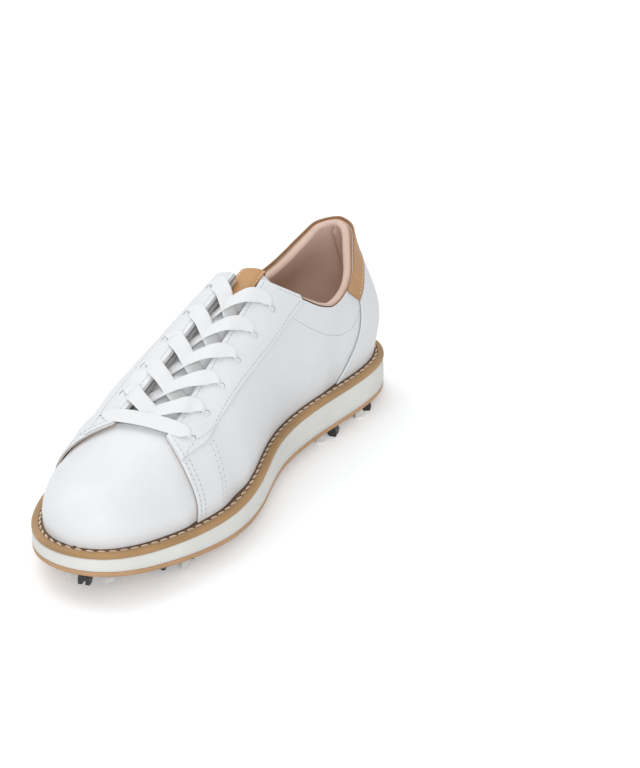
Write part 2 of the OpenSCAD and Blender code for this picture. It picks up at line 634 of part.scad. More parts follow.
// Flat band through stops of [q, phi, lift, width]
module band(stops, n) {
    centres = [for (s = stops) skin(s[0], s[1], s[2])];
    ways = [for (s = stops) lengthwise(s[0], s[1])];
    widths = [for (s = stops) s[3]];
    points = [for (i = [0:n])
        let (t = i / n, c = path_at(centres, t))
        let (d = unit(path_at(centres, min(1, t + 0.01)) - path_at(centres, max(0, t - 0.01))))
        let (l = path_at(ways, t), b = unit(l - (l * d) * d) * path_at(widths, t) / 2)
        let (h = unit(cross(d, b)) * lace_t / 2)
        for (e = [b + h, h - b, -b - h, b - h]) c + e];
    ends = [[0, 2, 1], [0, 3, 2], [4 * n, 4 * n + 1, 4 * n + 2], [4 * n, 4 * n + 2, 4 * n + 3]];
    side = [for (i = [0:n - 1]) for (j = [0:3]) for (h = [0:1])
        let (a = 4 * i + j, b = 4 * i + (j + 1) % 4)
        h == 0 ? [a, b, b + 4] : [a, b + 4, a + 4]];
    solid(points, concat(ends, side));
}

HOLE_W = 2.6;
// Stops from the edge of the gap over the eyestay and down through eyelet i, [q, phi, lift, width]
function into_hole(s, w) =
    let (q = on_side(s, w), e = eyelet_phi(q), over = lace_over(w))
    [[q, mix(gap_phi(q), e, 0.4), over, lace_w], [q, e + 4.5, over, lace_w - 1], [q, e + 2.4, over + 0.3, HOLE_W],
    [q, e + 0.9, over + 0.3, HOLE_W], [q, e, over - 1.2, HOLE_W], [q, e, 0, HOLE_W], [q, e, lace_under, HOLE_W]];
function backwards(v) = [for (k = [len(v) - 1:-1:0]) v[k]];

// Run under its own eyestay from eyelet i, over the gap, and into eyelet i + 1 of the other side
module crossing(s, i) {
    w0 = eyelet_w(i);
    w1 = eyelet_w(i + 1);
    from = on_side(s, w0);
    near = on_side(s, mix(w0, w1, 0.06));
    mid = mix(w0, w1, 0.36);
    beside = on_side(-s, mix(w0, w1, 0.64));
    far = on_side(-s, mix(w0, w1, 0.8));
    // The runs that end on the medial side lie on top
    above = s < 0 ? 1.5 : 0;
    band(concat([
        [from, eyelet_phi(from), lace_under, HOLE_W],
        [from, eyelet_phi(from) + 4, lace_under, lace_w - 2],
        [near, gap_phi(near) - 3, lace_under, lace_w],
        [near, gap_phi(near) + 2, lace_under, lace_w],
        [mid, 90, lace_over(mid) - 3.4 + above, lace_w],
        [beside, gap_phi(beside) + 4, lace_over(mid) + 0.8, lace_w],
        [far, gap_phi(far) - 1, lace_over(mid) + 0.7, lace_w]
    ], into_hole(-s, w1)), 40);
}

module first_bar() {
    w = eyelet_w(0);
    top = [w, 90, lace_over(w) - 0.2, lace_w];
    band(concat(backwards(into_hole(1, w)), [top], into_hole(-1, w)), 40);
}

TAIL = 0.06;
module tail(s) {
    q = eyelet_q(s, EYELETS - 1);
    w = station(q);
    band([
        [q, eyelet_phi(q), lace_under, HOLE_W],
        [q, eyelet_phi(q) - 3, lace_under, HOLE_W],
        [on_side(s, w - 0.02), eyelet_phi(q) - 6, lace_under, 5],
        [on_side(s, w - TAIL), eyelet_phi(q) - 8, lace_under, 5]
    ], 8);
}

module lace() color([0.95, 0.95, 0.95]) {
    first_bar();
    for (i = [0:EYELETS - 2]) for (s = [-1, 1]) crossing(s, i);
    for (s = [-1, 1]) tail(s);
}

// ---------- assembly ----------

outsole();
midsole();
welt();
welt_stitching();
filler();
shank();
insole_board();
sock_liner();
cleat_sockets();
for (k = [0:CLEATS - 1]) {
    cleat(k);
    cleat_legs(k);
}
vamp();
vamp_lining();
toe_puff();
quarter_medial();
quarter_lateral();
quarter_lining();
eyestay_medial();
eyestay_lateral();
heel_panel();
heel_stiffener();
collar_strip();
collar_padding();
tongue();
tongue_padding();
tongue_lining();
tongue_tab();
lace();
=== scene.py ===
"""Looks of the golf shoe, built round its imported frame. Lengths are in millimetres until a mesh is made."""
import math

import bpy
import numpy as np
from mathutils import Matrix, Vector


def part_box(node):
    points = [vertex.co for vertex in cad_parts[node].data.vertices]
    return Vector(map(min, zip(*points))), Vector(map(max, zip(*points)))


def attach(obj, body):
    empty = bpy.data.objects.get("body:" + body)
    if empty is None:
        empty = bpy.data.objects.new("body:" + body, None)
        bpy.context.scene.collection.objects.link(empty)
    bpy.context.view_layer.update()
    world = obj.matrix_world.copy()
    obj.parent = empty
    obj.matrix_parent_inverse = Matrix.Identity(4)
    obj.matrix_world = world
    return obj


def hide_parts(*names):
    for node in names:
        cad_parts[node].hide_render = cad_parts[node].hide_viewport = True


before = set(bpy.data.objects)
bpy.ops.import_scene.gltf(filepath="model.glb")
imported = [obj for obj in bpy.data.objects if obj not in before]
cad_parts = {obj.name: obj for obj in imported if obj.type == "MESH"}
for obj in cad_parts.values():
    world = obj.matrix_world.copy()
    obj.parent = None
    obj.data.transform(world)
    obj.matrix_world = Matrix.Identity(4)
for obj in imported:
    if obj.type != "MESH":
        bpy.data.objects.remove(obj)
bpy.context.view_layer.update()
MM = 0.001


def size(node, axis):
    low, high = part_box(node)
    return (high[axis] - low[axis]) / MM


# ---------- driving sizes ----------

# The outsole's length and width are read from the frame; the rest are the CAD's own values, but for the
# lace and the padding, which are drawn as they look when laced and pressed.
LENGTH = size("outsole", 1)
WIDTH = size("outsole", 0)
COLLAR = 102.0
OUTSOLE_T = 3.0
MIDSOLE_TOE_T = 7.0
MIDSOLE_HEEL_T = 15.5
TOE_SPRING = 9.5
WELT_T = 3.0
WELT_SHOW = 6.0
CLEAT_H = 6.0
LEATHER_T = 1.4
OVERLAY_T = 1.2
STIFFENER_T = 1.3
LINING_T = 1.0
PADDING_T = 3.3
LAYER_GAP = 0.2
GAP_TOE = 14.5
GAP_TOP = 7.0
EYESTAY_W = 16.5
EYELET_INSET = 9.0
THROAT_PINCH = 4.5
LACE_W = 9.4
LACE_T = 1.1


# ---------- curves ----------

def unit(v):
    return v / np.maximum(1e-9, np.linalg.norm(v, axis=-1, keepdims=True))


def mix(a, b, t):
    return a + (b - a) * t


def ease(t):
    c = np.clip(t, 0, 1)
    return c * c * (3 - 2 * c)


def weights(f):
    """The four weights of a uniform cubic B-spline."""
    second = (3 * f**3 - 6 * f**2 + 4) / 6
    third = (-3 * f**3 + 3 * f**2 + 3 * f + 1) / 6
    return [(1 - f) ** 3 / 6, second, third, f**3 / 6]


def ring_at(controls, u):
    """Closed uniform cubic B-spline."""
    i = np.floor(u).astype(int)
    k = weights(u - i)
    return sum(k[j][..., None] * controls[(i + j - 1) % len(controls)] for j in range(4))


def along(controls, w, rising=False):
    """Curve over ten stations from toe to heel; it starts level, or from zero when rising."""
    c = np.asarray(controls, float)
    n = len(c)
    u = np.asarray(w, float) * (n - 0.5)
    i = np.minimum(n - 1, np.floor(u).astype(int))
    k = weights(u - i)
    e = np.concatenate([[2 * c[0] - c[1] if rising else c[1]], c, [c[-1], c[-2], c[-3]]])
    return sum(k[j] * e[i + j] for j in range(4))


# ---------- the surface of the shoe, the same as the CAD's ----------

PLAN = np.array([
    [5, -153], [28, -140.5], [42, -106], [51.5, -68], [46.5, -31], [31.5, 7], [31.5, 49], [37.5, 91],
    [37.5, 128.5], [16, 151], [-15.5, 151], [-38.5, 128.5], [-43.5, 91], [-45.5, 49.5], [-50.5, 5],
    [-55.5, -38], [-52.5, -78.5], [-42, -117], [-22, -146]], float)
TURNS = len(PLAN) / 2
plan_points = ring_at(PLAN, np.arange(190) / 10)
plan_scale = np.array([WIDTH, LENGTH]) / np.ptp(plan_points, axis=0)
plan_centre = (plan_points.min(0) + plan_points.max(0)) / 2

RISE = [0, 23, 28.5, 40, 54.5, 68, 84, 102, 118, 122]
RIDGE = [0, 1, 3, 2.5, 5.5, 9.5, 7, 3, 0.5, 0]
SIDE_POWER = [0.8, 0.8, 0.8, 0.78, 0.76, 0.8, 0.95, 1, 1, 1]
RISE_POWER = [0.85, 0.88, 0.92, 0.95, 1, 1, 1, 1, 1, 1]
SWELL_MEDIAL = [1, 1.5, 2.5, 3, 4, 9, 8, 8, 11, 11.5]
SWELL_LATERAL = [1, 1.5, 2, 2, 2, 1.5, 2.5, 7.5, 11, 11.5]
TOPLINE = np.array([
    [0.5, 120], [0.583, 79], [0.606, 71], [0.629, 64.5], [0.661, 55], [0.697, 49], [0.73, 48.8],
    [0.76, 50.5], [0.79, 54.5], [0.84, 63], [0.92, 73.5], [1, 75]])
LATERAL_DROP = 2.0
TAPER = np.array([[0.69, 0], [0.75, 0.26], [0.8, 0.4], [0.86, 0.43], [0.93, 0.31], [1, 0.21]])
TAPER_FROM, TAPER_TO = 0.17, 0.62
STRIP_LOW = np.array([[0.7, 32], [0.777, 41], [0.85, 51], [1, 58.5]])
THROAT, GAP_END, VAMP_END = 0.297, 0.59, 0.302
STRIP_FRONT, STRIP_LEAN, SEAM_LEAN = 0.777, 0.031, 0.074


def turn(q):
    q = np.asarray(q, float)
    return q - 2 * np.floor(q / 2)


def station(q):
    t = turn(q)
    return np.where(t <= 1, t, 2 - t)


def edge(q, inset=0.0):
    """Outline of the sole; q runs once round it, 0 toe, 1 heel, 2 toe again by the lateral side."""
    def raw(v):
        return (ring_at(PLAN, turn(v) * TURNS) - plan_centre) * plan_scale
    q = np.asarray(q, float)
    d = unit(raw(q + 0.001) - raw(q - 0.001))
    return raw(q) - np.asarray(inset)[..., None] * np.stack([d[..., 1], -d[..., 0]], -1)


def run(y):
    return np.clip(y / LENGTH + 0.5, 0, 1)


def outsole_z(y):
    return CLEAT_H + TOE_SPRING * np.maximum(0, 1 - run(y) / 0.36) ** 2


def midsole_z(y):
    return outsole_z(y) + OUTSOLE_T


def welt_z(y):
    rise = np.sin(np.pi / 2 * np.minimum(1, run(y) / 0.72)) ** 1.5
    return midsole_z(y) + mix(MIDSOLE_TOE_T, MIDSOLE_HEEL_T, rise)


def feather_z(y):
    return welt_z(y) + WELT_T


RISE_SCALE = (COLLAR - feather_z(LENGTH / 2)) / 74.5


def feather_inset(w):
    over_vamp_here = ease((w - 0.23) / 0.03) * (1 - ease((w - 0.34) / 0.06))
    return (WELT_SHOW + LEATHER_T + (LEATHER_T + LAYER_GAP) * over_vamp_here
            + (OVERLAY_T + LAYER_GAP) * ease((w - 0.66) / 0.05))


def feather(q):
    return edge(q, feather_inset(station(q)))


def mid_edge(q):
    return (feather(station(q)) + feather(2 - station(q))) / 2


def ridge(q):
    m = mid_edge(q)
    past = (m[..., 1] - 104 / 300 * LENGTH) / 9
    x = m[..., 0] + along(RIDGE, station(q), True)
    return np.stack([x, m[..., 1] - 9 * np.log1p(np.exp(past))], -1)


def ridge_z(q):
    return feather_z(mid_edge(q)[..., 1]) + RISE_SCALE * along(RISE, station(q), True)


def base(q, phi):
    """Point of the upper's base surface; phi is 0 at the feather line and 90 at the ridge."""
    q, phi = np.broadcast_arrays(np.asarray(q, float), np.asarray(phi, float))
    a = np.radians(phi)
    f, r, w = feather(q), ridge(q), station(q)
    out_share = np.cos(a) ** along(SIDE_POWER, w)
    up_share = np.sin(a) ** along(RISE_POWER, w)
    swell = np.where(turn(q) <= 1, along(SWELL_MEDIAL, w), along(SWELL_LATERAL, w))
    swell = swell * np.sin(2 * a) * np.cos(a)
    d = f - r
    kept = 1 - smoothed(TAPER, w, 0.03) * ease((up_share - TAPER_FROM) / (TAPER_TO - TAPER_FROM))
    p = r + (d * out_share[..., None] + swell[..., None] * unit(d)) * kept[..., None]
    zf = feather_z(f[..., 1])
    return np.concatenate([p, (zf + 0.1 + (ridge_z(q) - zf) * up_share)[..., None]], -1)


def side_normal(q, phi):
    a = np.minimum(88, phi)
    du = base(q + 0.002, a) - base(q - 0.002, a)
    dv = base(q, a + 1) - base(q, np.maximum(0, a - 1))
    return unit(np.cross(du, dv))


def out(q, phi):
    """Direction away from the foot."""
    q, phi = np.broadcast_arrays(np.asarray(q, float), np.asarray(phi, float))
    n, w = side_normal(q, phi), station(q)
    level = n.copy()
    level[..., 2] *= ease(phi / 12)
    n = np.where((phi < 12)[..., None], unit(level), n)
    safe = np.clip(w, 0.006, 1)
    top = unit(side_normal(safe, np.full_like(safe, 88)) + side_normal(2 - safe, np.full_like(safe, 88)))
    n = np.where((phi > 88)[..., None], top, n)
    return np.where((w < 0.006)[..., None], np.array([0, -1.0, 0]), n)


def skin(q, phi, lift):
    return base(q, phi) + np.asarray(lift, float)[..., None] * out(q, phi)


def phi_at_z(q, z):
    f = feather(q)
    zf = feather_z(f[..., 1])
    h = np.clip((z - zf) / (ridge_z(q) - zf), 0, 1)
    return np.degrees(np.arcsin(h ** (1 / along(RISE_POWER, station(q)))))


def phi_at_width(q, x):
    """Angle at which the section stands at a distance from the ridge, seen from above."""
    q, x = np.broadcast_arrays(np.asarray(q, float), np.asarray(x, float))
    low, high, r = np.zeros(q.shape), np.full(q.shape, 90.0), ridge(q)
    for _ in range(16):
        m = (low + high) / 2
        wide = np.linalg.norm(base(q, m)[..., :2] - r, axis=-1) > x
        low, high = np.where(wide, m, low), np.where(wide, high, m)
    return (low + high) / 2


def smoothed(table, w, r):
    steps = [(-r, 1), (-r / 2, 1), (0, 2), (r / 2, 1), (r, 1)]
    return sum(k * np.interp(w + d, table[:, 0], table[:, 1]) for d, k in steps) / 6


def top_z(q):
    w = station(q)
    drop = np.where(turn(q) > 1, LATERAL_DROP * ease((w - 0.6) / 0.1) * ease((1 - w) / 0.12), 0)
    return feather_z(feather(q)[..., 1]) + RISE_SCALE * (smoothed(TOPLINE, w, 0.012) - drop)


def gap_half(w):
    return np.maximum(GAP_TOP, mix(GAP_TOE, GAP_TOP, (w - THROAT) / (GAP_END - THROAT)))


def gap_phi(q):
    return phi_at_width(q, gap_half(station(q)))


def upper_phi(q):
    """Angle of the upper's free edge: the lacing gap in front, the topline behind."""
    return np.where(station(q) < 0.56, gap_phi(q), np.minimum(gap_phi(q), phi_at_z(q, top_z(q))))


def eyestay_phi(q):
    """Outer edge of the eyestay, which draws in towards its front end."""
    w = station(q)
    return phi_at_width(q, gap_half(w) + EYESTAY_W - THROAT_PINCH * (1 - ease((w - THROAT + 0.01) / 0.07)))


def front(phi):
    """Front edge of the quarters."""
    return 0.255 + 0.042 * (np.maximum(0, phi - 25) / 53) ** 2


def over_vamp(w):
    return (LEATHER_T + LAYER_GAP) * (1 - ease((w - VAMP_END) / 0.07))


def strip_phi(q):
    return phi_at_z(q, feather_z(feather(q)[..., 1]) + RISE_SCALE * smoothed(STRIP_LOW, station(q), 0.02))


def pad_depth(q, phi):
    """Depth of the padding, which thins out down from the topline and forward from the ankle."""
    below = top_z(q) - base(q, phi)[..., 2]
    padded = ease((station(q) - 0.635) / 0.05) * ease((34 - below) / 32)
    return STIFFENER_T + (PADDING_T - STIFFENER_T) * padded


def on_side(s, w):
    return w if s > 0 else 2 - w


# ---------- meshes ----------

def new_mesh(name, points, faces, materials, body="shoe", parts=None, uv=None, smooth=True):
    """A mesh object from points in millimetres; parts gives each face its material."""
    mesh = bpy.data.meshes.new(name)
    mesh.from_pydata((np.asarray(points) * MM).tolist(), [], [list(map(int, f)) for f in faces])
    for material in materials:
        mesh.materials.append(material)
    if parts is not None:
        mesh.polygons.foreach_set("material_index", np.asarray(parts, dtype=np.int32))
    mesh.polygons.foreach_set("use_smooth", [smooth] * len(mesh.polygons))
    if uv is not None:
        layer = mesh.uv_layers.new(name="Run")
        loops = np.empty(len(mesh.loops), dtype=np.int32)
        mesh.loops.foreach_get("vertex_index", loops)
        layer.data.foreach_set("uv", np.asarray(uv, dtype=np.float32)[loops].ravel())
    mesh.validate()
    mesh.update()
    obj = bpy.data.objects.new(name, mesh)
    bpy.context.scene.collection.objects.link(obj)
    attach(obj, body)
    return obj


def grid_faces(n, m, start=0, wrap=False):
    """Quads between n rows of m points each; wrap closes each row into a ring."""
    faces = []
    for i in range(n - 1):
        row = start + i * m
        faces += [(row + j, row + (j + 1) % m, row + m + (j + 1) % m, row + m + j)
                  for j in range(m if wrap else m - 1)]
    return faces


def pull_in(grid, amount):
    """Moves a grid's border towards its inside, so that a rounded edge fits round it."""
    g = grid.copy()
    for here, there in ((0, 1), (-1, -2)):
        g[here] += amount * unit(grid[there] - grid[here])
        g[:, here] += amount * unit(grid[:, there] - grid[:, here])
    return g


def rim_of(n, m):
    """Indices of a grid's border points, once round."""
    return ([(n - 1) * m + j for j in range(m)] + [i * m + m - 1 for i in range(n - 2, -1, -1)]
            + [j for j in range(m - 2, -1, -1)] + [i * m for i in range(1, n - 1)])


def sheet(name, outside, inside, materials, body="shoe", round_r=0.35, edge_parts=None):
    """A piece of leather between two grids, with rounded edges. materials: face, edge, back.

    edge_parts maps the grid index of each rim point to the material of the raw edge there.
    """
    n, m = outside.shape[:2]
    rim = rim_of(n, m)
    o, i = outside.reshape(-1, 3), inside.reshape(-1, 3)
    thick = unit(i[rim] - o[rim])
    ring_a = o[rim] + round_r * thick
    ring_b = i[rim] - round_r * thick
    faces_in = [pull_in(grid, round_r).reshape(-1, 3) for grid in (outside, inside)]
    points = np.concatenate([*faces_in, ring_a, ring_b])
    count, k = n * m, len(rim)
    top = grid_faces(n, m)
    bottom = [tuple(reversed(f)) for f in grid_faces(n, m, count)]
    a, b = 2 * count, 2 * count + k
    upper, raw, lower = [], [], []
    for j in range(k):
        h = (j + 1) % k
        upper.append((rim[j], rim[h], a + h, a + j))
        raw.append((a + j, a + h, b + h, b + j))
        lower.append((b + j, b + h, rim[h] + count, rim[j] + count))
    faces = top + bottom + upper + raw + lower
    back = 2 if len(materials) > 2 else len(materials) - 1
    edges = [edge_parts(j) for j in rim] if edge_parts else [min(1, len(materials) - 1)] * k
    parts = [0] * len(top) + [back] * len(bottom) + [0] * k + edges + [back] * k
    return new_mesh(name, points, faces, materials, body, parts)


def lathe_ring(name, profile, materials, parts, body="shoe", n=480, z=welt_z):
    """A hoop round the plan from a profile of [inset, height]; parts gives each side its material."""
    q = np.arange(n) * 2 / n
    rows = []
    for inset, height in profile:
        e = edge(q, inset)
        rows.append(np.column_stack([e, z(e[:, 1]) + height]))
    grid = np.stack(rows, 1)
    m = len(profile)
    faces = [(i * m + j, ((i + 1) % n) * m + j, ((i + 1) % n) * m + (j + 1) % m, i * m + (j + 1) % m)
             for i in range(n) for j in range(m)]
    return new_mesh(name, grid.reshape(-1, 3), faces, materials, body, parts * n)


def slab(name, rings, material, body="shoe", n=480, inner=0):
    """A closed slab from rings of (inset, height function); caps are filled by rows across the slab."""
    q = np.arange(n) * 2 / n
    extra = feather_inset(station(q)) if inner else 0.0

    def ring(inset, z):
        e = edge(q, inset + extra)
        return np.column_stack([e, z(e[:, 1])])

    def cap(inset, z):
        """Rows across the slab, from one side to the other."""
        e = edge(q, inset + extra)
        rows = []
        for t in np.linspace(0, 1, 13)[1:-1]:
            a, b = e[1:n // 2], e[:n // 2:-1]
            p = a + (b - a) * t
            rows.append(np.column_stack([p, z(p[:, 1])]))
        return rows
    points, faces = [], []
    for inset, z in rings:
        points.append(ring(inset, z))
    faces += grid_faces(len(rings), n, wrap=True)
    total = len(rings) * n
    for which, start in ((0, 0), (-1, (len(rings) - 1) * n)):
        rows = cap(*rings[which])
        h = n // 2 - 1
        index = [list(range(start + 1, start + n // 2))]
        for row in rows:
            points.append(row)
            index.append(list(range(total, total + h)))
            total += h
        index.append(list(range(start + n - 1, start + n // 2, -1)))
        for a, b in zip(index[:-1], index[1:]):
            strip = [(a[k], a[k + 1], b[k + 1], b[k]) for k in range(h - 1)]
            faces += strip if which else [tuple(reversed(f)) for f in strip]
        first = [start] + [row[0] for row in index]
        last = [start + n // 2] + [row[-1] for row in reversed(index)]
        ends = [tuple(first), tuple(last)]
        faces += ends if which else [tuple(reversed(f)) for f in ends]
    return new_mesh(name, np.concatenate(points), faces, [material], body)


def beads(name, points, normals, pitch, length, width, height, material, body="shoe", slant=0.0, sink=0.3):
    """Thread stitches along a line: each is a rounded bead lying on the surface."""
    p = np.asarray(points)
    s = np.concatenate([[0], np.cumsum(np.linalg.norm(np.diff(p, axis=0), axis=1))])
    count = max(1, int(s[-1] / pitch))
    at = (np.arange(count) + 0.5) * s[-1] / count
    centre = np.column_stack([np.interp(at, s, p[:, k]) for k in range(3)])
    ahead = np.column_stack([np.interp(at + 0.4, s, p[:, k]) - np.interp(at - 0.4, s, p[:, k])
                             for k in range(3)])
    up = unit(np.column_stack([np.interp(at, s, normals[:, k]) for k in range(3)]))
    along_dir = unit(ahead - (ahead * up).sum(1)[:, None] * up)
    across = np.cross(up, along_dir)
    c, d = math.cos(slant), math.sin(slant)
    along_dir, across = c * along_dir + d * across, c * across - d * along_dir
    rings, sides = 9, 8
    all_points, faces = [], []
    for k in range(count):
        start = k * rings * sides
        for i in range(rings):
            t = -1 + 2 * i / (rings - 1)
            swell = max(0.12, math.sqrt(1 - abs(t) ** 3))
            for j in range(sides):
                a = 2 * math.pi * j / sides
                all_points.append(centre[k] + along_dir[k] * t * length / 2
                                  + across[k] * math.cos(a) * swell * width / 2
                                  + up[k] * (math.sin(a) * swell - sink * abs(t) ** 3 * 2) * height / 2)
        faces += grid_faces(rings, sides, start, wrap=True)
        faces.append(tuple(start + j for j in range(sides)))
        faces.append(tuple(start + (rings - 1) * sides + j for j in reversed(range(sides))))
    return new_mesh(name, all_points, faces, [material], body)


# ---------- materials ----------

def node_material(name):
    m = bpy.data.materials.new(name)
    m.use_nodes = True
    tree = m.node_tree
    tree.nodes.clear()
    shader = tree.nodes.new("ShaderNodeBsdfPrincipled")
    tree.links.new(shader.outputs[0], tree.nodes.new("ShaderNodeOutputMaterial").inputs[0])
    place = tree.nodes.new("ShaderNodeTexCoord")
    return m, tree, shader, place


def add(tree, kind, links=(), **values):
    node = tree.nodes.new("ShaderNode" + kind)
    for key, value in values.items():
        if hasattr(node, key):
            setattr(node, key, value)
        else:
            node.inputs[key.replace("_", " ")].default_value = value
    for key, source in links:
        tree.links.new(source, node.inputs[key])
    return node


def ramp(tree, source, stops):
    node = add(tree, "ValToRGB", [("Fac", source)])
    e = node.color_ramp.elements
    e[0].position, e[0].color = stops[0][0], (*stops[0][1], 1)
    e[1].position, e[1].color = stops[-1][0], (*stops[-1][1], 1)
    for at, colour in stops[1:-1]:
        e.new(at).color = (*colour, 1)
    return node


def shades(colour, darker, lighter=1.0):
    return tuple(c * darker for c in colour), tuple(min(1, c * lighter) for c in colour)


def leather(name, colour, grain=1100, bump=0.12, roughness=0.42, vary=0.93, coat=0.0, stretch=None):
    """Grained leather: pebbles from one Voronoi scale, pores, cloudy colour and worn gloss."""
    m, tree, shader, place = node_material(name)
    where = place.outputs["Object"]
    if stretch:
        where = add(tree, "Mapping", [("Vector", where)], Scale=stretch).outputs[0]
    cells = add(tree, "TexVoronoi", [("Vector", where)], feature="DISTANCE_TO_EDGE", Scale=grain)
    fine = add(tree, "TexNoise", [("Vector", where)], Scale=grain * 2.6, Detail=3.0)
    cloud = add(tree, "TexNoise", [("Vector", where)], Scale=28.0, Detail=4.0, Roughness=0.55)
    dark, light = shades(colour, vary, 1.03)
    tint = ramp(tree, cloud.outputs["Fac"], [(0.3, dark), (0.7, light)])
    creases = ramp(tree, cells.outputs["Distance"], [(0.0, (0.86,) * 3), (0.16, (1.0,) * 3)])
    colour_mix = add(tree, "Mix", data_type="RGBA", blend_type="MULTIPLY")
    colour_mix.inputs[0].default_value = 0.35
    tree.links.new(tint.outputs[0], colour_mix.inputs[6])
    tree.links.new(creases.outputs[0], colour_mix.inputs[7])
    tree.links.new(colour_mix.outputs[2], shader.inputs["Base Color"])
    gloss = add(tree, "MapRange", [("Value", cloud.outputs["Fac"])],
                To_Min=roughness - 0.05, To_Max=roughness + 0.09)
    tree.links.new(gloss.outputs[0], shader.inputs["Roughness"])
    height = add(tree, "MapRange", [("Value", cells.outputs["Distance"])], From_Max=0.25)
    rough = add(tree, "Bump", [("Height", fine.outputs["Fac"])], Strength=bump * 0.5, Distance=0.0002)
    relief = add(tree, "Bump", [("Height", height.outputs[0]), ("Normal", rough.outputs[0])],
                 Strength=bump, Distance=0.0003)
    tree.links.new(relief.outputs[0], shader.inputs["Normal"])
    shader.inputs["Coat Weight"].default_value = coat
    shader.inputs["Coat Roughness"].default_value = 0.3
    shader.inputs["Specular IOR Level"].default_value = 0.42
    return m


def grainy(name, colour, scale=900, bump=0.1, roughness=0.6, vary=0.85, metallic=0.0, detail=6.0,
           speck=None):
    """Moulded or raw material: speckled colour with a fine rough surface."""
    m, tree, shader, place = node_material(name)
    where = place.outputs["Object"]
    fine = add(tree, "TexNoise", [("Vector", where)], Scale=scale, Detail=detail, Roughness=0.6)
    cloud = add(tree, "TexNoise", [("Vector", where)], Scale=35.0, Detail=3.0)
    dark, light = shades(colour, vary, 1.05)
    tint = ramp(tree, cloud.outputs["Fac"], [(0.32, dark), (0.68, light)])
    speckle = ramp(tree, fine.outputs["Fac"], [(0.35, speck or (0.82,) * 3), (0.6, (1.0,) * 3)])
    blend = add(tree, "Mix", data_type="RGBA", blend_type="MULTIPLY")
    blend.inputs[0].default_value = 0.6
    tree.links.new(tint.outputs[0], blend.inputs[6])
    tree.links.new(speckle.outputs[0], blend.inputs[7])
    tree.links.new(blend.outputs[2], shader.inputs["Base Color"])
    gloss = add(tree, "MapRange", [("Value", fine.outputs["Fac"])],
                To_Min=roughness - 0.08, To_Max=roughness + 0.08)
    tree.links.new(gloss.outputs[0], shader.inputs["Roughness"])
    relief = add(tree, "Bump", [("Height", fine.outputs["Fac"])], Strength=bump, Distance=0.0003)
    tree.links.new(relief.outputs[0], shader.inputs["Normal"])
    shader.inputs["Metallic"].default_value = metallic
    return m


def woven(name, colour, across, length, bump=0.5):
    """Flat braid: a herringbone of slanted threads, in the piece's own run coordinates (millimetres)."""
    m, tree, shader, place = node_material(name)
    split = add(tree, "SeparateXYZ", [("Vector", place.outputs["UV"])])
    half = add(tree, "Math", [(0, split.outputs["X"])], operation="ABSOLUTE")
    slope = add(tree, "Math", [(0, half.outputs[0])], operation="MULTIPLY")
    slope.inputs[1].default_value = 0.9
    phase = add(tree, "Math", [(0, split.outputs["Y"]), (1, slope.outputs[0])], operation="ADD")
    turns = add(tree, "Math", [(0, phase.outputs[0])], operation="MULTIPLY")
    turns.inputs[1].default_value = 2 * math.pi / length
    wave = add(tree, "Math", [(0, turns.outputs[0])], operation="SINE")
    ribs = add(tree, "Math", [(0, split.outputs["X"])], operation="MULTIPLY")
    ribs.inputs[1].default_value = 2 * math.pi / across
    rib_wave = add(tree, "Math", [(0, ribs.outputs[0])], operation="COSINE")
    both = add(tree, "Math", [(0, wave.outputs[0]), (1, rib_wave.outputs[0])], operation="ADD")
    level = add(tree, "MapRange", [("Value", both.outputs[0])], From_Min=-2.0, From_Max=2.0)
    dark, light = shades(colour, 0.93, 1.02)
    tint = ramp(tree, level.outputs[0], [(0.1, dark), (0.6, light)])
    tree.links.new(tint.outputs[0], shader.inputs["Base Color"])
    relief = add(tree, "Bump", [("Height", level.outputs[0])], Strength=bump, Distance=0.0002)
    tree.links.new(relief.outputs[0], shader.inputs["Normal"])
    shader.inputs["Roughness"].default_value = 0.8
    shader.inputs["Sheen Weight"].default_value = 0.25
    return m


WHITE = (0.80, 0.81, 0.82)
white_leather = leather("white leather", WHITE, bump=0.10, roughness=0.40, vary=0.965)
white_edge = grainy("leather raw edge", (0.46, 0.45, 0.44), scale=1500, roughness=0.8)
# Mid-grey for the heel panel's cut edge: partly the edge's own colour, partly painted shade of the seam
# beside it.
cut_edge_seam_shade = grainy("leather cut edge", (0.52, 0.52, 0.52), scale=1500, roughness=0.8)
tan_leather = leather("tan leather", (0.57, 0.30, 0.115), bump=0.14, roughness=0.42, vary=0.8)
tan_edge = grainy("tan raw edge", (0.36, 0.19, 0.09), scale=1500, roughness=0.75)
lining_leather = leather("lining leather", (0.74, 0.545, 0.44), grain=1500, bump=0.08, roughness=0.66,
                         vary=0.86)
welt_leather = leather("welt leather", (0.47, 0.272, 0.115), grain=1900, bump=0.16, roughness=0.46,
                       vary=0.72)
# Dark brown of the welt's groove and inner band: partly edge dye, partly painted shade of the groove and the
# seam.
welt_dye_and_shade = leather("welt groove", (0.165, 0.088, 0.042), grain=1900, bump=0.2, roughness=0.6, vary=0.7)
outsole_rubber = grainy("outsole rubber", (0.55, 0.325, 0.17), scale=1300, roughness=0.62, vary=0.88)
midsole_foam = grainy("midsole", (0.76, 0.755, 0.715), scale=1500, bump=0.07, roughness=0.58, vary=0.95,
                      speck=(0.93,) * 3)
thread = grainy("welt thread", (0.74, 0.58, 0.44), scale=2600, bump=0.5, roughness=0.7)
white_thread = grainy("white thread", (0.74, 0.74, 0.74), scale=2600, bump=0.4, roughness=0.7, vary=0.95)
tan_thread = grainy("tan thread", (0.86, 0.68, 0.48), scale=2600, bump=0.4, roughness=0.7)
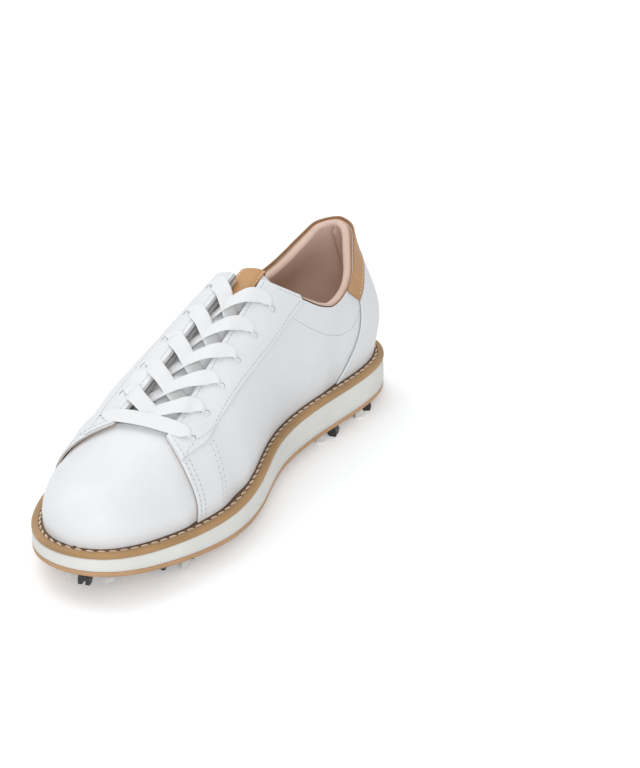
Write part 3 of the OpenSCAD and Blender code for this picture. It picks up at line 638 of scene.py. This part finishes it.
# Grey for the needle holes: painted shade in the small holes between stitches.
needle_hole_shade = grainy("needle hole", (0.36, 0.355, 0.35), scale=2600, roughness=0.9)
lace_weave = woven("lace weave", (0.82, 0.82, 0.82), across=1.1, length=1.3, bump=0.35)
sock_leather = leather("sock leather", (0.42, 0.26, 0.17), grain=1300, bump=0.1, roughness=0.6, vary=0.8)
# Near-black for the eyelets' mouths: painted shade inside the punched holes.
eyelet_hole_shade = grainy("eyelet hole", (0.012, 0.011, 0.01), scale=2000, roughness=0.9)
cleat_black = grainy("cleat black", (0.022, 0.022, 0.024), scale=1400, bump=0.15, roughness=0.42)
cleat_white = grainy("cleat white", (0.72, 0.72, 0.69), scale=1400, bump=0.12, roughness=0.45, vary=0.94)
socket_black = grainy("socket plastic", (0.05, 0.05, 0.055), scale=1200, roughness=0.5)
cork = grainy("cork", (0.36, 0.22, 0.11), scale=420, bump=0.5, roughness=0.9, speck=(0.35,) * 3)
steel = grainy("shank steel", (0.55, 0.56, 0.58), scale=2400, bump=0.05, roughness=0.32, metallic=1.0)
board = grainy("fibre board", (0.50, 0.38, 0.24), scale=800, bump=0.2, roughness=0.85)
stiffener = grainy("stiffener sheet", (0.4, 0.4, 0.42), scale=900, roughness=0.6)

CARRIED = {
    "filler": cork, "shank": steel, "insole_board": board, "cleat_sockets": socket_black,
    "toe_puff": stiffener, "heel_stiffener": stiffener,
}
for k in range(1, 10):
    CARRIED[f"cleat_{k}"] = cleat_black
    CARRIED[f"cleat_{k}_legs"] = cleat_white
for node, material in CARRIED.items():
    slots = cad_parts[node].data.materials
    slots.clear()
    slots.append(material)


# ---------- sole ----------

def lifted(z, height):
    return lambda y: z(y) + height


def between(share):
    """A height between the midsole's underside and the welt's."""
    return lambda y: mix(midsole_z(y), welt_z(y), share)


def build_sole():
    """Three slabs, each from rings of (inset, height) from its underside to its top."""
    outsole = slab("outsole_sheet", [
        (1.6, outsole_z), (0.7, lifted(outsole_z, 0.15)), (0.15, lifted(outsole_z, 0.7)),
        (0.0, lifted(outsole_z, 1.4)), (0.05, lifted(midsole_z, -0.3)), (0.35, lifted(midsole_z, -0.02))],
        outsole_rubber)
    midsole = slab("midsole_wedge", [
        (0.5, lifted(midsole_z, 0.02)), (0.1, lifted(midsole_z, 0.35)), (0.0, between(0.25)),
        (0.1, between(0.6)), (0.3, lifted(welt_z, -0.9)), (0.6, lifted(welt_z, -0.25)),
        (1.2, lifted(welt_z, -0.02))],
        midsole_foam)
    sock = slab("sock_pad", [
        (4.0, lifted(feather_z, 2.45)), (3.6, lifted(feather_z, 3.0)), (3.5, lifted(feather_z, 5.2)),
        (3.9, lifted(feather_z, 6.1)), (5.0, lifted(feather_z, 6.4))],
        sock_leather, body="liner", inner=1)
    for piece, node, slot in ((outsole, "outsole", "outsole_rubber"), (midsole, "midsole", "midsole_foam"),
                              (sock, "sock_liner", "liner_leather")):
        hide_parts(node)


STITCH_INSET = WELT_SHOW - 1.6


def build_welt():
    """A hoop with a groove at the stitches; the groove and what lies inside it are painted darker, partly
    dark edge dye and partly painted shade of the groove and of the seam against the upper.
    """
    g = STITCH_INSET
    profile = [
        (1.0, 0.03), (0.45, 0.12), (0.12, 0.5), (0.0, 1.1), (0.05, 1.9), (0.25, 2.45), (0.7, 2.85),
        (1.3, 3.0),
        (g - 1.15, 3.02), (g - 0.8, 2.9), (g - 0.45, 2.5), (g, 2.3), (g + 0.45, 2.45), (g + 0.9, 2.8),
        (g + 1.6, 2.95), (g + 6.5, 2.95), (g + 6.5, 0.03)]
    # The groove and the band inside it take the dark brown: edge dye with painted shade.
    dark = [0] * 9 + [1] * (len(profile) - 9)
    welt = lathe_ring("welt_strip", profile, [welt_leather, welt_dye_and_shade], dark, n=720)
    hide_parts("welt")
    q = np.linspace(0, 2, 1441)
    e = edge(q, STITCH_INSET)
    line = np.column_stack([e, feather_z(e[:, 1]) - 0.28])
    up = np.tile([0, 0, 1.0], (len(line), 1))
    stitches = beads("welt_thread", line, up, 5.7, 5.0, 1.25, 1.15, thread, slant=math.radians(-13),
                     sink=0.5)
    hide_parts("welt_stitching")


# ---------- upper ----------

def leather_piece(name, node, q, phi, low, high, materials, body="shoe", round_r=0.35,
                  edge_parts=None):
    """A sheet between two lifts above the upper's base surface, which replaces its CAD node."""
    piece = sheet(name, skin(q, phi, high), skin(q, phi, low), materials, body, round_r, edge_parts)
    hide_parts(node)
    return piece


def build_vamp():
    t = np.linspace(-1, 1, 121)
    w = (0.0025 + (VAMP_END + 0.004 - 0.0025) * np.linspace(0, 1, 100) ** 1.25)[:, None]
    q = np.where(t[None, :] > 0, w, 2 - w)
    phi = np.broadcast_to(90 * (1 - np.abs(t))[None, :], q.shape)
    zero = np.zeros(q.shape)
    leather_piece("vamp_leather", "vamp", q, phi, zero, zero + LEATHER_T,
                  [white_leather, white_edge, lining_leather])
    depth = STIFFENER_T + 2 * LAYER_GAP
    keep = w[:, 0] < VAMP_END - 0.003
    top = zero[keep] - depth
    leather_piece("toe_lining", "vamp_lining", q[keep], phi[keep], top - LINING_T, top, [lining_leather])


def stand_off(s, v, phi):
    """The front edge of each quarter lifts off the vamp a little, more on the lateral side."""
    near = np.exp(-((v - front(phi)) / 0.02) ** 2) * ease((phi - 22) / 35)
    return near * (0.7 if s > 0 else 1.2)


def quarter_grid(s):
    f = np.linspace(0, 1, 190)[:, None]
    t = np.linspace(0, 1, 64)[None, :]
    w = mix(THROAT, 1.0, f)
    phi = upper_phi(on_side(s, w)) * t
    v = np.minimum(1.0, w + (front(phi) - THROAT) * (1 - f) ** 3)
    return on_side(s, v), phi, v


TAN_EDGE_START = 0.622


def build_quarters():
    for s, side in ((1, "medial"), (-1, "lateral")):
        q, phi, v = quarter_grid(s)
        low = over_vamp(v) + stand_off(s, v, phi)
        columns = q.shape[1]
        around = station(q).reshape(-1)

        def edge_part(j):
            """Tan along the topline, white raw leather elsewhere."""
            return 3 if j % columns == columns - 1 and around[j] > TAN_EDGE_START else 1

        piece = leather_piece(f"quarter_{side}_leather", f"quarter_{side}", q, phi, low,
                              low + LEATHER_T + 0.1, [white_leather, white_edge, lining_leather, tan_edge],
                              edge_parts=edge_part)
        if s < 0:
            piece.data.flip_normals()


EYESTAY_END = {1: 0.627, -1: 0.611}


def eyestay_grid(s, n=110, m=26):
    f = np.linspace(0, 1, n)[:, None]
    t = np.linspace(0, 1, m)[None, :]
    w = mix(THROAT, EYESTAY_END[s], f)
    a = eyestay_phi(on_side(s, w))
    top = np.maximum(a + 0.4, upper_phi(on_side(s, w)) - 0.15)
    phi = mix(a, top, t)
    v = w + (front(phi) - THROAT + 0.0006) * (1 - f) ** 3
    return on_side(s, v), phi, v


def eyestay_low(s, v, phi):
    return over_vamp(v) + stand_off(s, v, phi) + LEATHER_T + 0.12


def build_eyestays():
    for s, side in ((1, "medial"), (-1, "lateral")):
        q, phi, v = eyestay_grid(s)
        low = eyestay_low(s, v, phi)
        piece = leather_piece(f"eyestay_{side}_leather", f"eyestay_{side}", q, phi, low, low + OVERLAY_T,
                              [white_leather, white_edge, white_leather], round_r=0.45)
        if s < 0:
            piece.data.flip_normals()


def heel_grid(low_phi, high_phi, lean, power, n=141, m=24, start=STRIP_FRONT):
    """Grid round the heel whose front edges lean; low_phi and high_phi give its borders."""
    g = np.linspace(-1, 1, n)[:, None]
    t = np.linspace(0, 1, m)[None, :]
    f = np.abs(g)
    w = mix(1.0, start, f)
    v = w - lean * power(t) * f**2
    q = np.where(g < 0, v, 2 - v)
    return q, mix(low_phi(q), high_phi(q), t)


def build_heel():
    low = LEATHER_T + LAYER_GAP
    q, phi = heel_grid(lambda q: 0 * q, lambda q: strip_phi(q) - 0.3, SEAM_LEAN,
                       lambda t: (1 - t) ** 1.2, m=30)
    level = np.full(q.shape, low)
    # The panel's raw edge is mid-grey, partly painted shade along its seam.
    leather_piece("heel_panel_leather", "heel_panel", q, phi, level, level + OVERLAY_T,
                  [white_leather, cut_edge_seam_shade], round_r=0.35)
    q, phi = heel_grid(strip_phi, lambda q: phi_at_z(q, top_z(q) + 0.9), STRIP_LEAN, lambda t: t)
    level = np.full(q.shape, low + 0.05)
    leather_piece("collar_strip_leather", "collar_strip", q, phi, level, level + OVERLAY_T,
                  [tan_leather, tan_edge], round_r=0.4)


def pleat(q, depth_down):
    """Gathers of the lining at the middle of the heel."""
    x = (q - 1.0) / 0.011
    centre = -2.2 * np.exp(-x**2) + 0.9 * np.exp(-((np.abs(x) - 1.9) / 0.8) ** 2)
    return centre * ease(depth_down / 5) * ease((46 - depth_down) / 30)


def build_lining():
    """One skin: from the leather's edge over the rolled rim and down to the foot bed."""
    q = np.linspace(VAMP_END, 2 - VAMP_END, 420)[:, None]
    top = upper_phi(q) - 0.25
    roll = np.linspace(0, math.pi, 15)[None, :]
    rim_depth = pad_depth(q, top) + LINING_T + 0.35
    up = unit(base(q, top + 0.4) - base(q, top - 0.4))
    n = out(q, top)
    collar = ease((station(q) - 0.60) / 0.06)
    crown = mix(-0.6, 1.9, collar)
    offset = -0.15 - rim_depth * (1 - np.cos(roll)) / 2
    rim = base(q, top) + n * offset[..., None] + up * (crown * np.sin(roll))[..., None]
    t = np.linspace(0, 1, 62)[None, 1:]
    phi = top * (1 - t ** 1.15)
    down = top_z(q) - base(q, phi)[..., 2]
    lift = -(pad_depth(q, phi) + LINING_T + 0.5)
    lift = lift + collar * pleat(q, down)
    wall = skin(q, phi, lift)
    grid = np.concatenate([rim, wall], 1)
    n_rows, m = grid.shape[:2]
    cells = grid_faces(n_rows, m)
    along_gap = station(q[:, 0]) < 0.585
    parts = [1 if along_gap[c[0] // m] else 0 for c in cells]
    piece = new_mesh("collar_lining", grid.reshape(-1, 3), cells, [lining_leather, white_edge], parts=parts)
    piece.data.flip_normals()
    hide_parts("quarter_lining", "collar_padding")


# ---------- tongue ----------

TONGUE_START, TONGUE_END, TAB_START = 0.304, 0.609, 0.563
TAB_HALF, TAB_SHIFT = 8.3, 2.4


def tongue_lift(w):
    return -(STIFFENER_T + 2 * LAYER_GAP + LINING_T + 0.6 + LACE_T + 0.6) + 1.2 * ease((w - 0.575) / 0.03)


def tongue_grid(w, half, shift=0.0):
    t = np.linspace(-1, 1, 61)[None, :]
    q = np.where(t > 0, w, 2 - w)
    a = phi_at_width(np.where(t > 0, w, 2 - w), half - shift * np.sign(t))
    return q, mix(90.0, a, np.abs(t)), t


def build_tongue():
    w = np.linspace(TONGUE_START, TONGUE_END, 90)[:, None]
    half = 27.0 - 3.0 * ease((w - 0.5) / 0.1)
    q, phi, t = tongue_grid(w, half)
    puff = 2.5 * np.maximum(0, 1 - (t * half / 7.0) ** 2)
    puff = puff * ease((w - 0.32) / 0.02) * ease((0.572 - w) / 0.02)
    wrinkles = 0.3 * np.sin(w * 160) * (1 - t**2) * ease((w - 0.33) / 0.05)
    top = tongue_lift(w) + puff + wrinkles
    quilt = 1 - t**4
    thick = 1.8 + 4.4 * quilt * ease((w - TONGUE_START) / 0.03) * (1 - 0.5 * ease((w - 0.59) / 0.02))
    piece = leather_piece("tongue_body", "tongue", q, phi, top - thick, top + 0 * t,
                          [white_leather, white_edge, lining_leather], "tongue_flap",
                          round_r=0.7)
    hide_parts("tongue_padding", "tongue_lining")
    build_tab()


def build_tab():
    """Tan tab sewn on the tongue: up its outside, over its top edge and a little way down its back."""
    t = np.linspace(-1, 1, 31)
    front_w = np.linspace(TAB_START, TONGUE_END - 0.002, 26)
    rows = []
    for w in front_w:
        q, phi, _ = tongue_grid(np.full((1, 1), w), TAB_HALF, TAB_SHIFT)
        keep = slice(0, 61, 2)
        rows.append(skin(q[:, keep], phi[:, keep], tongue_lift(w) + 0.25 + 0 * q[:, keep])[0])
    rows = np.array(rows)
    last = np.full(t.shape, TONGUE_END - 0.002)
    q, phi, _ = tongue_grid(last[:1, None], TAB_HALF, TAB_SHIFT)
    n = out(q[:, ::2], phi[:, ::2])[0]
    ahead = unit(rows[-1] - rows[-3])
    depth = 4.6
    over = [rows[-1] + ahead * (2.6 * math.sin(a)) - n * (depth * (1 - math.cos(a)) / 2)
            for a in np.linspace(0, math.pi, 15)[1:]]
    back = [over[-1] - ahead * d - n * 0.15 * d / 8 for d in np.linspace(1, 9, 6)]
    mid = np.array(list(rows) + over + back)
    normal = unit(np.cross(np.gradient(mid, axis=1), np.gradient(mid, axis=0)))
    if (normal[2, 15] * n[15]).sum() < 0:
        normal = -normal
    piece = sheet("tongue_tab_leather", mid + normal * OVERLAY_T, mid, [tan_leather, tan_edge],
                  "tongue_flap", 0.35)
    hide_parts("tongue_tab")
    for name, column in (("left", 3), ("right", 27)):
        line = mid[:, column] + normal[:, column] * (OVERLAY_T + 0.02)
        stitches = beads(f"tab_stitches_{name}", line[1:40], normal[1:40, column], 2.3, 1.6, 0.6, 0.6,
                         tan_thread, "tongue_flap")


# ---------- laces ----------

EYELETS, EYELET_FIRST, EYELET_PITCH = 6, 0.31, 0.052


def eyelet_w(i):
    return EYELET_FIRST + EYELET_PITCH * i


def eyelet_phi(q):
    return phi_at_width(q, gap_half(station(q)) + EYELET_INSET)


def top_of_eyestay(s, v, phi):
    return eyestay_low(s, v, phi) + OVERLAY_T


def spline_path(stops, t):
    """Uniform cubic B-spline near the stops, with its ends held."""
    s = np.asarray(stops, float)
    e = np.concatenate([[2 * s[0] - s[1]], s, [2 * s[-1] - s[-2]]])
    u = t * (len(s) - 1)
    i = np.minimum(len(s) - 2, u.astype(int))
    k = weights((u - i)[:, None])
    return sum(k[j] * e[i + j] for j in range(4))


LACE_CLEAR = 0.6
HOLE_W = 2.6
LACE_UNDER = -(STIFFENER_T + 2 * LAYER_GAP) - LINING_T - LACE_CLEAR - LACE_T / 2
LACE_SIDES = 20


def lace_over(w):
    return float(over_vamp(w)) + LEATHER_T + LAYER_GAP + OVERLAY_T + LACE_CLEAR + LACE_T / 2


def into_hole(s, w):
    """Stops from the gap over the eyestay and down through an eyelet: (q, phi, lift, width)."""
    q, over = on_side(s, w), lace_over(w)
    e, g = float(eyelet_phi(q)), float(gap_phi(q))
    return [(q, mix(g, e, 0.4), over, LACE_W), (q, e + 4.5, over, LACE_W - 1),
            (q, e + 2.4, over + 0.3, HOLE_W + 1.4), (q, e + 0.9, over + 0.3, HOLE_W),
            (q, e, over - 1.2, HOLE_W), (q, e, 0, HOLE_W), (q, e, LACE_UNDER, HOLE_W)]


def crossing(s, i):
    """Run under its own eyestay from eyelet i, over the gap, and into eyelet i + 1 of the other side."""
    w0, w1 = eyelet_w(i), eyelet_w(i + 1)
    start, near = on_side(s, w0), on_side(s, mix(w0, w1, 0.06))
    mid = mix(w0, w1, 0.36)
    beside, far = on_side(-s, mix(w0, w1, 0.64)), on_side(-s, mix(w0, w1, 0.8))
    above = 1.5 if s < 0 else 0.0
    over = lace_over(mid)
    return [(start, float(eyelet_phi(start)), LACE_UNDER, HOLE_W),
            (start, float(eyelet_phi(start)) + 4, LACE_UNDER, LACE_W - 2),
            (near, float(gap_phi(near)) - 3, LACE_UNDER, LACE_W),
            (near, float(gap_phi(near)) + 2, LACE_UNDER, LACE_W),
            (mid, 90, over - 3.4 + above, LACE_W),
            (beside, float(gap_phi(beside)) + 4, over + 0.8, LACE_W),
            (far, float(gap_phi(far)) - 1, over + 0.7, LACE_W)] + into_hole(-s, w1)


def band(stops, n, mesh):
    """Adds a flat band through stops to a mesh's points, faces and run coordinates."""
    st = np.array([[float(v) for v in stop] for stop in stops])
    q, phi = st[:, 0], st[:, 1]
    low = np.minimum(88, phi)
    ways = unit(base(q + 0.004, low) - base(q - 0.004, low)) * np.where(turn(q) <= 1, 1.0, -1.0)[:, None]
    t = np.linspace(0, 1, n + 1)
    centres = skin(q, phi, st[:, 2])
    centre = spline_path(centres, t)
    before, after = np.maximum(0, t - 0.01), np.minimum(1, t + 0.01)
    ahead = unit(spline_path(centres, after) - spline_path(centres, before))
    side = spline_path(ways, t)
    side = unit(side - (side * ahead).sum(1)[:, None] * ahead)
    top = np.cross(ahead, side)
    width = spline_path(st[:, 3:4], t)[:, 0]
    angles = np.linspace(0, 2 * math.pi, LACE_SIDES, endpoint=False)
    x = np.sign(np.cos(angles)) * np.abs(np.cos(angles)) ** 0.5
    z = np.sign(np.sin(angles)) * np.abs(np.sin(angles)) ** 0.8
    length = np.concatenate([[0], np.cumsum(np.linalg.norm(np.diff(centre, axis=0), axis=1))])
    first = len(mesh["points"])
    for i in range(n + 1):
        for j in range(LACE_SIDES):
            mesh["points"].append(centre[i] + side[i] * x[j] * width[i] / 2 + top[i] * z[j] * LACE_T / 2)
            mesh["uv"].append((x[j] * width[i] / 2, mesh["run"] + length[i]))
    mesh["faces"] += grid_faces(n + 1, LACE_SIDES, first, wrap=True)
    mesh["faces"].append(tuple(first + j for j in reversed(range(LACE_SIDES))))
    mesh["faces"].append(tuple(first + n * LACE_SIDES + j for j in range(LACE_SIDES)))
    mesh["run"] += length[-1]


TAIL = 0.06
TAIL_W = 5


def build_laces():
    """The first bar, the crossings from eyelet to eyelet, and two ends tucked in beside the tongue."""
    mesh = {"points": [], "faces": [], "uv": [], "run": 0.0}
    w = eyelet_w(0)
    band(into_hole(1, w)[::-1] + [(w, 90, lace_over(w) - 0.2, LACE_W)] + into_hole(-1, w), 110, mesh)
    for i in range(EYELETS - 1):
        for s in (-1, 1):
            band(crossing(s, i), 100, mesh)
    for s in (-1, 1):
        q = on_side(s, eyelet_w(EYELETS - 1))
        w, e = float(station(q)), float(eyelet_phi(q))
        band([(q, e, LACE_UNDER, HOLE_W), (q, e - 3, LACE_UNDER, HOLE_W),
              (on_side(s, w - 0.02), e - 6, LACE_UNDER, TAIL_W),
              (on_side(s, w - TAIL), e - 8, LACE_UNDER, TAIL_W)], 30, mesh)
    lace = new_mesh("lace_band", mesh["points"], mesh["faces"], [lace_weave], uv=mesh["uv"])
    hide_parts("lace")


# Radius and height of an eyelet's rings; the first three bound its mouth, a near-black disc of painted shade
# inside the hole
LIP = [(0.0, -0.35), (1.2, -0.3), (1.7, -0.12), (1.85, 0.1), (2.1, 0.18), (2.5, 0.12), (2.9, -0.05)]
LIP_SIDES = 28


def build_eyelets():
    """Punched holes: a near-black disc of painted shade for the mouth, with a softly raised lip."""
    for s, side in ((1, "medial"), (-1, "lateral")):
        points, faces, parts = [], [], []
        for i in range(EYELETS):
            w = eyelet_w(i)
            q = on_side(s, w)
            phi = float(eyelet_phi(q)) - 1.9
            n = out(q, phi)
            c = skin(q, phi, float(top_of_eyestay(s, w, phi)))
            a = unit(base(q + 0.002, phi) - base(q - 0.002, phi))
            b = np.cross(n, a)
            first = len(points)
            for r, h in LIP:
                for k in range(LIP_SIDES):
                    g = 2 * math.pi * k / LIP_SIDES
                    across = a * r * 1.15 * math.cos(g) + b * r * 0.8 * math.sin(g)
                    points.append(c + across + n * (h + 0.05))
            cells = grid_faces(len(LIP), LIP_SIDES, first, wrap=True)
            faces += cells
            parts += [0] * (3 * LIP_SIDES) + [1] * (len(cells) - 3 * LIP_SIDES)
        piece = new_mesh(f"eyelets_{side}", points, faces, [eyelet_hole_shade, white_leather], parts=parts)


# ---------- stitching of the upper ----------

def seam(name, q, phi, lift, pitch=2.7, width=0.62, material=None, holes=True):
    """Thread stitches in a row, with grey dots of painted shade for the needle holes between them."""
    q, phi = np.broadcast_arrays(q, phi)
    line = skin(q, phi, lift)
    n = out(q, phi)
    stitches = beads(name, line, n, pitch, pitch * 0.72, width, 0.5, material or white_thread)
    if holes:
        # Grey dots between the stitches: painted shade of the needle holes.
        shift = line + unit(np.gradient(line, axis=0)) * pitch / 2 - n * 0.12
        hole_shade_dots = beads(f"{name}_holes", shift, n, pitch, pitch * 0.34, width * 0.95, 0.36, needle_hole_shade,
                     sink=0.0)


# Station and height of the row that holds the collar's padding
QUILT = np.array([
    [0.594, 85], [0.624, 75.3], [0.66, 65.5], [0.703, 58], [0.735, 57], [0.757, 60], [0.775, 66]])


def build_seams():
    """Every stitched row of the upper."""
    for s, side in ((1, "medial"), (-1, "lateral")):
        def lift(v, phi):
            return over_vamp(v) + stand_off(s, v, phi) + LEATHER_T + 0.16

        phi = np.linspace(1.0, 50, 80)
        for k, back in enumerate((1.9, 4.3)):
            v = front(phi) + back / 280
            seam(f"front_seam_{side}_{k}", on_side(s, v), phi, lift(v, phi))
        phi = np.linspace(3, 47, 60)
        for k, back in enumerate((15.5, 18.0)):
            v = front(phi) + back / 280 + 0.010 * ease((phi - 10) / 40)
            seam(f"back_seam_{side}_{k}", on_side(s, v), phi, lift(v, phi), pitch=2.9, width=0.5)

        def top_lift(v, phi):
            return eyestay_low(s, v, phi) + OVERLAY_T + 0.02

        w = np.linspace(THROAT - 0.018, EYESTAY_END[s] - (0.007 if s > 0 else 0.012), 160)
        phi = eyestay_phi(on_side(s, w)) + 2.6
        seam(f"eyestay_outer_seam_{side}", on_side(s, w), phi, top_lift(w, phi))
        w = np.linspace(THROAT + 0.008, 0.588, 160)
        phi = gap_phi(on_side(s, w)) - 3.4
        seam(f"eyestay_inner_seam_{side}", on_side(s, w), phi, top_lift(w, phi))
        phi = np.linspace(52, 74, 40)
        v = front(phi) + 0.0085
        seam(f"eyestay_front_seam_{side}", on_side(s, v), phi, top_lift(v, phi))
        w = np.linspace(0.597, EYESTAY_END[s] - 0.005, 30)
        q = on_side(s, w)
        phi = np.minimum(phi_at_z(q, top_z(q) - 2.4), upper_phi(q) - 1.6)
        seam(f"eyestay_top_seam_{side}", on_side(s, w), phi, top_lift(w, phi))
        w = np.linspace(0.598, 0.768, 120)
        phi = phi_at_z(on_side(s, w), np.interp(w, QUILT[:, 0], QUILT[:, 1]))
        level = over_vamp(w) + LEATHER_T + 0.16
        seam(f"collar_seam_{side}", on_side(s, w), phi, level, pitch=2.9, width=0.5)
    q = np.linspace(STRIP_FRONT + 0.004, 2 - STRIP_FRONT - 0.004, 200)
    level = LEATHER_T + LAYER_GAP + OVERLAY_T + 0.08 + 0 * q
    seam("strip_seam", q, strip_phi(q) + 1.3, level, material=tan_thread)


# ---------- scene ----------

def seen_directly(tree):
    """1 for what the camera or a reflection sees, 0 for what only lights the shoe."""
    path = tree.nodes.new("ShaderNodeLightPath")
    rays = [(0, path.outputs["Is Camera Ray"]), (1, path.outputs["Is Glossy Ray"])]
    return add(tree, "Math", rays, operation="MAXIMUM")


def build_stage():
    """A plain white floor that keeps the shoe's shadow."""
    bpy.ops.mesh.primitive_plane_add(size=12, location=(0, 0, -0.0002))
    floor = bpy.context.object
    floor.name = "floor"
    m, tree, shader, place = node_material("floor white")
    shader.inputs["Base Color"].default_value = (0.86, 0.86, 0.86, 1)
    shader.inputs["Roughness"].default_value = 0.9
    shader.inputs["Specular IOR Level"].default_value = 0.1
    seen = seen_directly(tree)
    strength = add(tree, "Math", [(0, seen.outputs[0])], operation="MULTIPLY")
    strength.inputs[1].default_value = 0.27
    shader.inputs["Emission Color"].default_value = (1, 1, 1, 1)
    tree.links.new(strength.outputs[0], shader.inputs["Emission Strength"])
    floor.data.materials.append(m)


def build_world():
    world = bpy.data.worlds.new("studio")
    bpy.context.scene.world = world
    world.use_nodes = True
    tree = world.node_tree
    tree.nodes.clear()
    output = tree.nodes.new("ShaderNodeOutputWorld")
    light = add(tree, "Background", Strength=0.63)
    light.inputs["Color"].default_value = (0.95, 0.975, 1.0, 1)
    shown = add(tree, "Background", Strength=1.0)
    shown.inputs["Color"].default_value = (1, 1, 1, 1)
    seen = seen_directly(tree)
    pick = add(tree, "MixShader", [(0, seen.outputs[0]), (1, light.outputs[0]), (2, shown.outputs[0])])
    tree.links.new(pick.outputs[0], output.inputs[0])


def area_light(name, place, target, width, power, colour=(1, 1, 1)):
    data = bpy.data.lights.new(name, "AREA")
    data.size = width
    data.energy = power
    data.color = colour
    obj = bpy.data.objects.new(name, data)
    bpy.context.scene.collection.objects.link(obj)
    obj.location = place
    aim = np.array(target) - np.array(place)
    tilt = math.acos(-aim[2] / np.linalg.norm(aim))
    obj.rotation_euler = (tilt, 0, math.atan2(aim[1], aim[0]) - math.pi / 2)
    return obj


def build_camera():
    """The camera stands in front of the toe, on the medial side, and looks past the shoe's own axis."""
    heading = math.radians(28.9)
    pitch = math.radians(25.9)
    data = bpy.data.cameras.new("camera")
    data.sensor_width = 36
    data.lens = 102.7
    cam = bpy.data.objects.new("camera", data)
    cam.location = (0.5611, -0.9003, 0.568)
    cam.rotation_euler = (math.pi / 2 - pitch, 0, heading)
    bpy.context.scene.collection.objects.link(cam)
    bpy.context.scene.camera = cam


build_camera()
build_world()
build_stage()
area_light("key", (-0.9, 0.2, 1.6), (0, 0, 0.04), 1.4, 12)
area_light("fill", (1.0, -1.7, 1.0), (0, -0.05, 0.04), 1.2, 17.5)
build_sole()
build_welt()
build_vamp()
build_quarters()
build_eyestays()
build_heel()
build_lining()
build_tongue()
build_laces()
build_eyelets()
build_seams()

bpy.context.scene.view_settings.view_transform = "Standard"
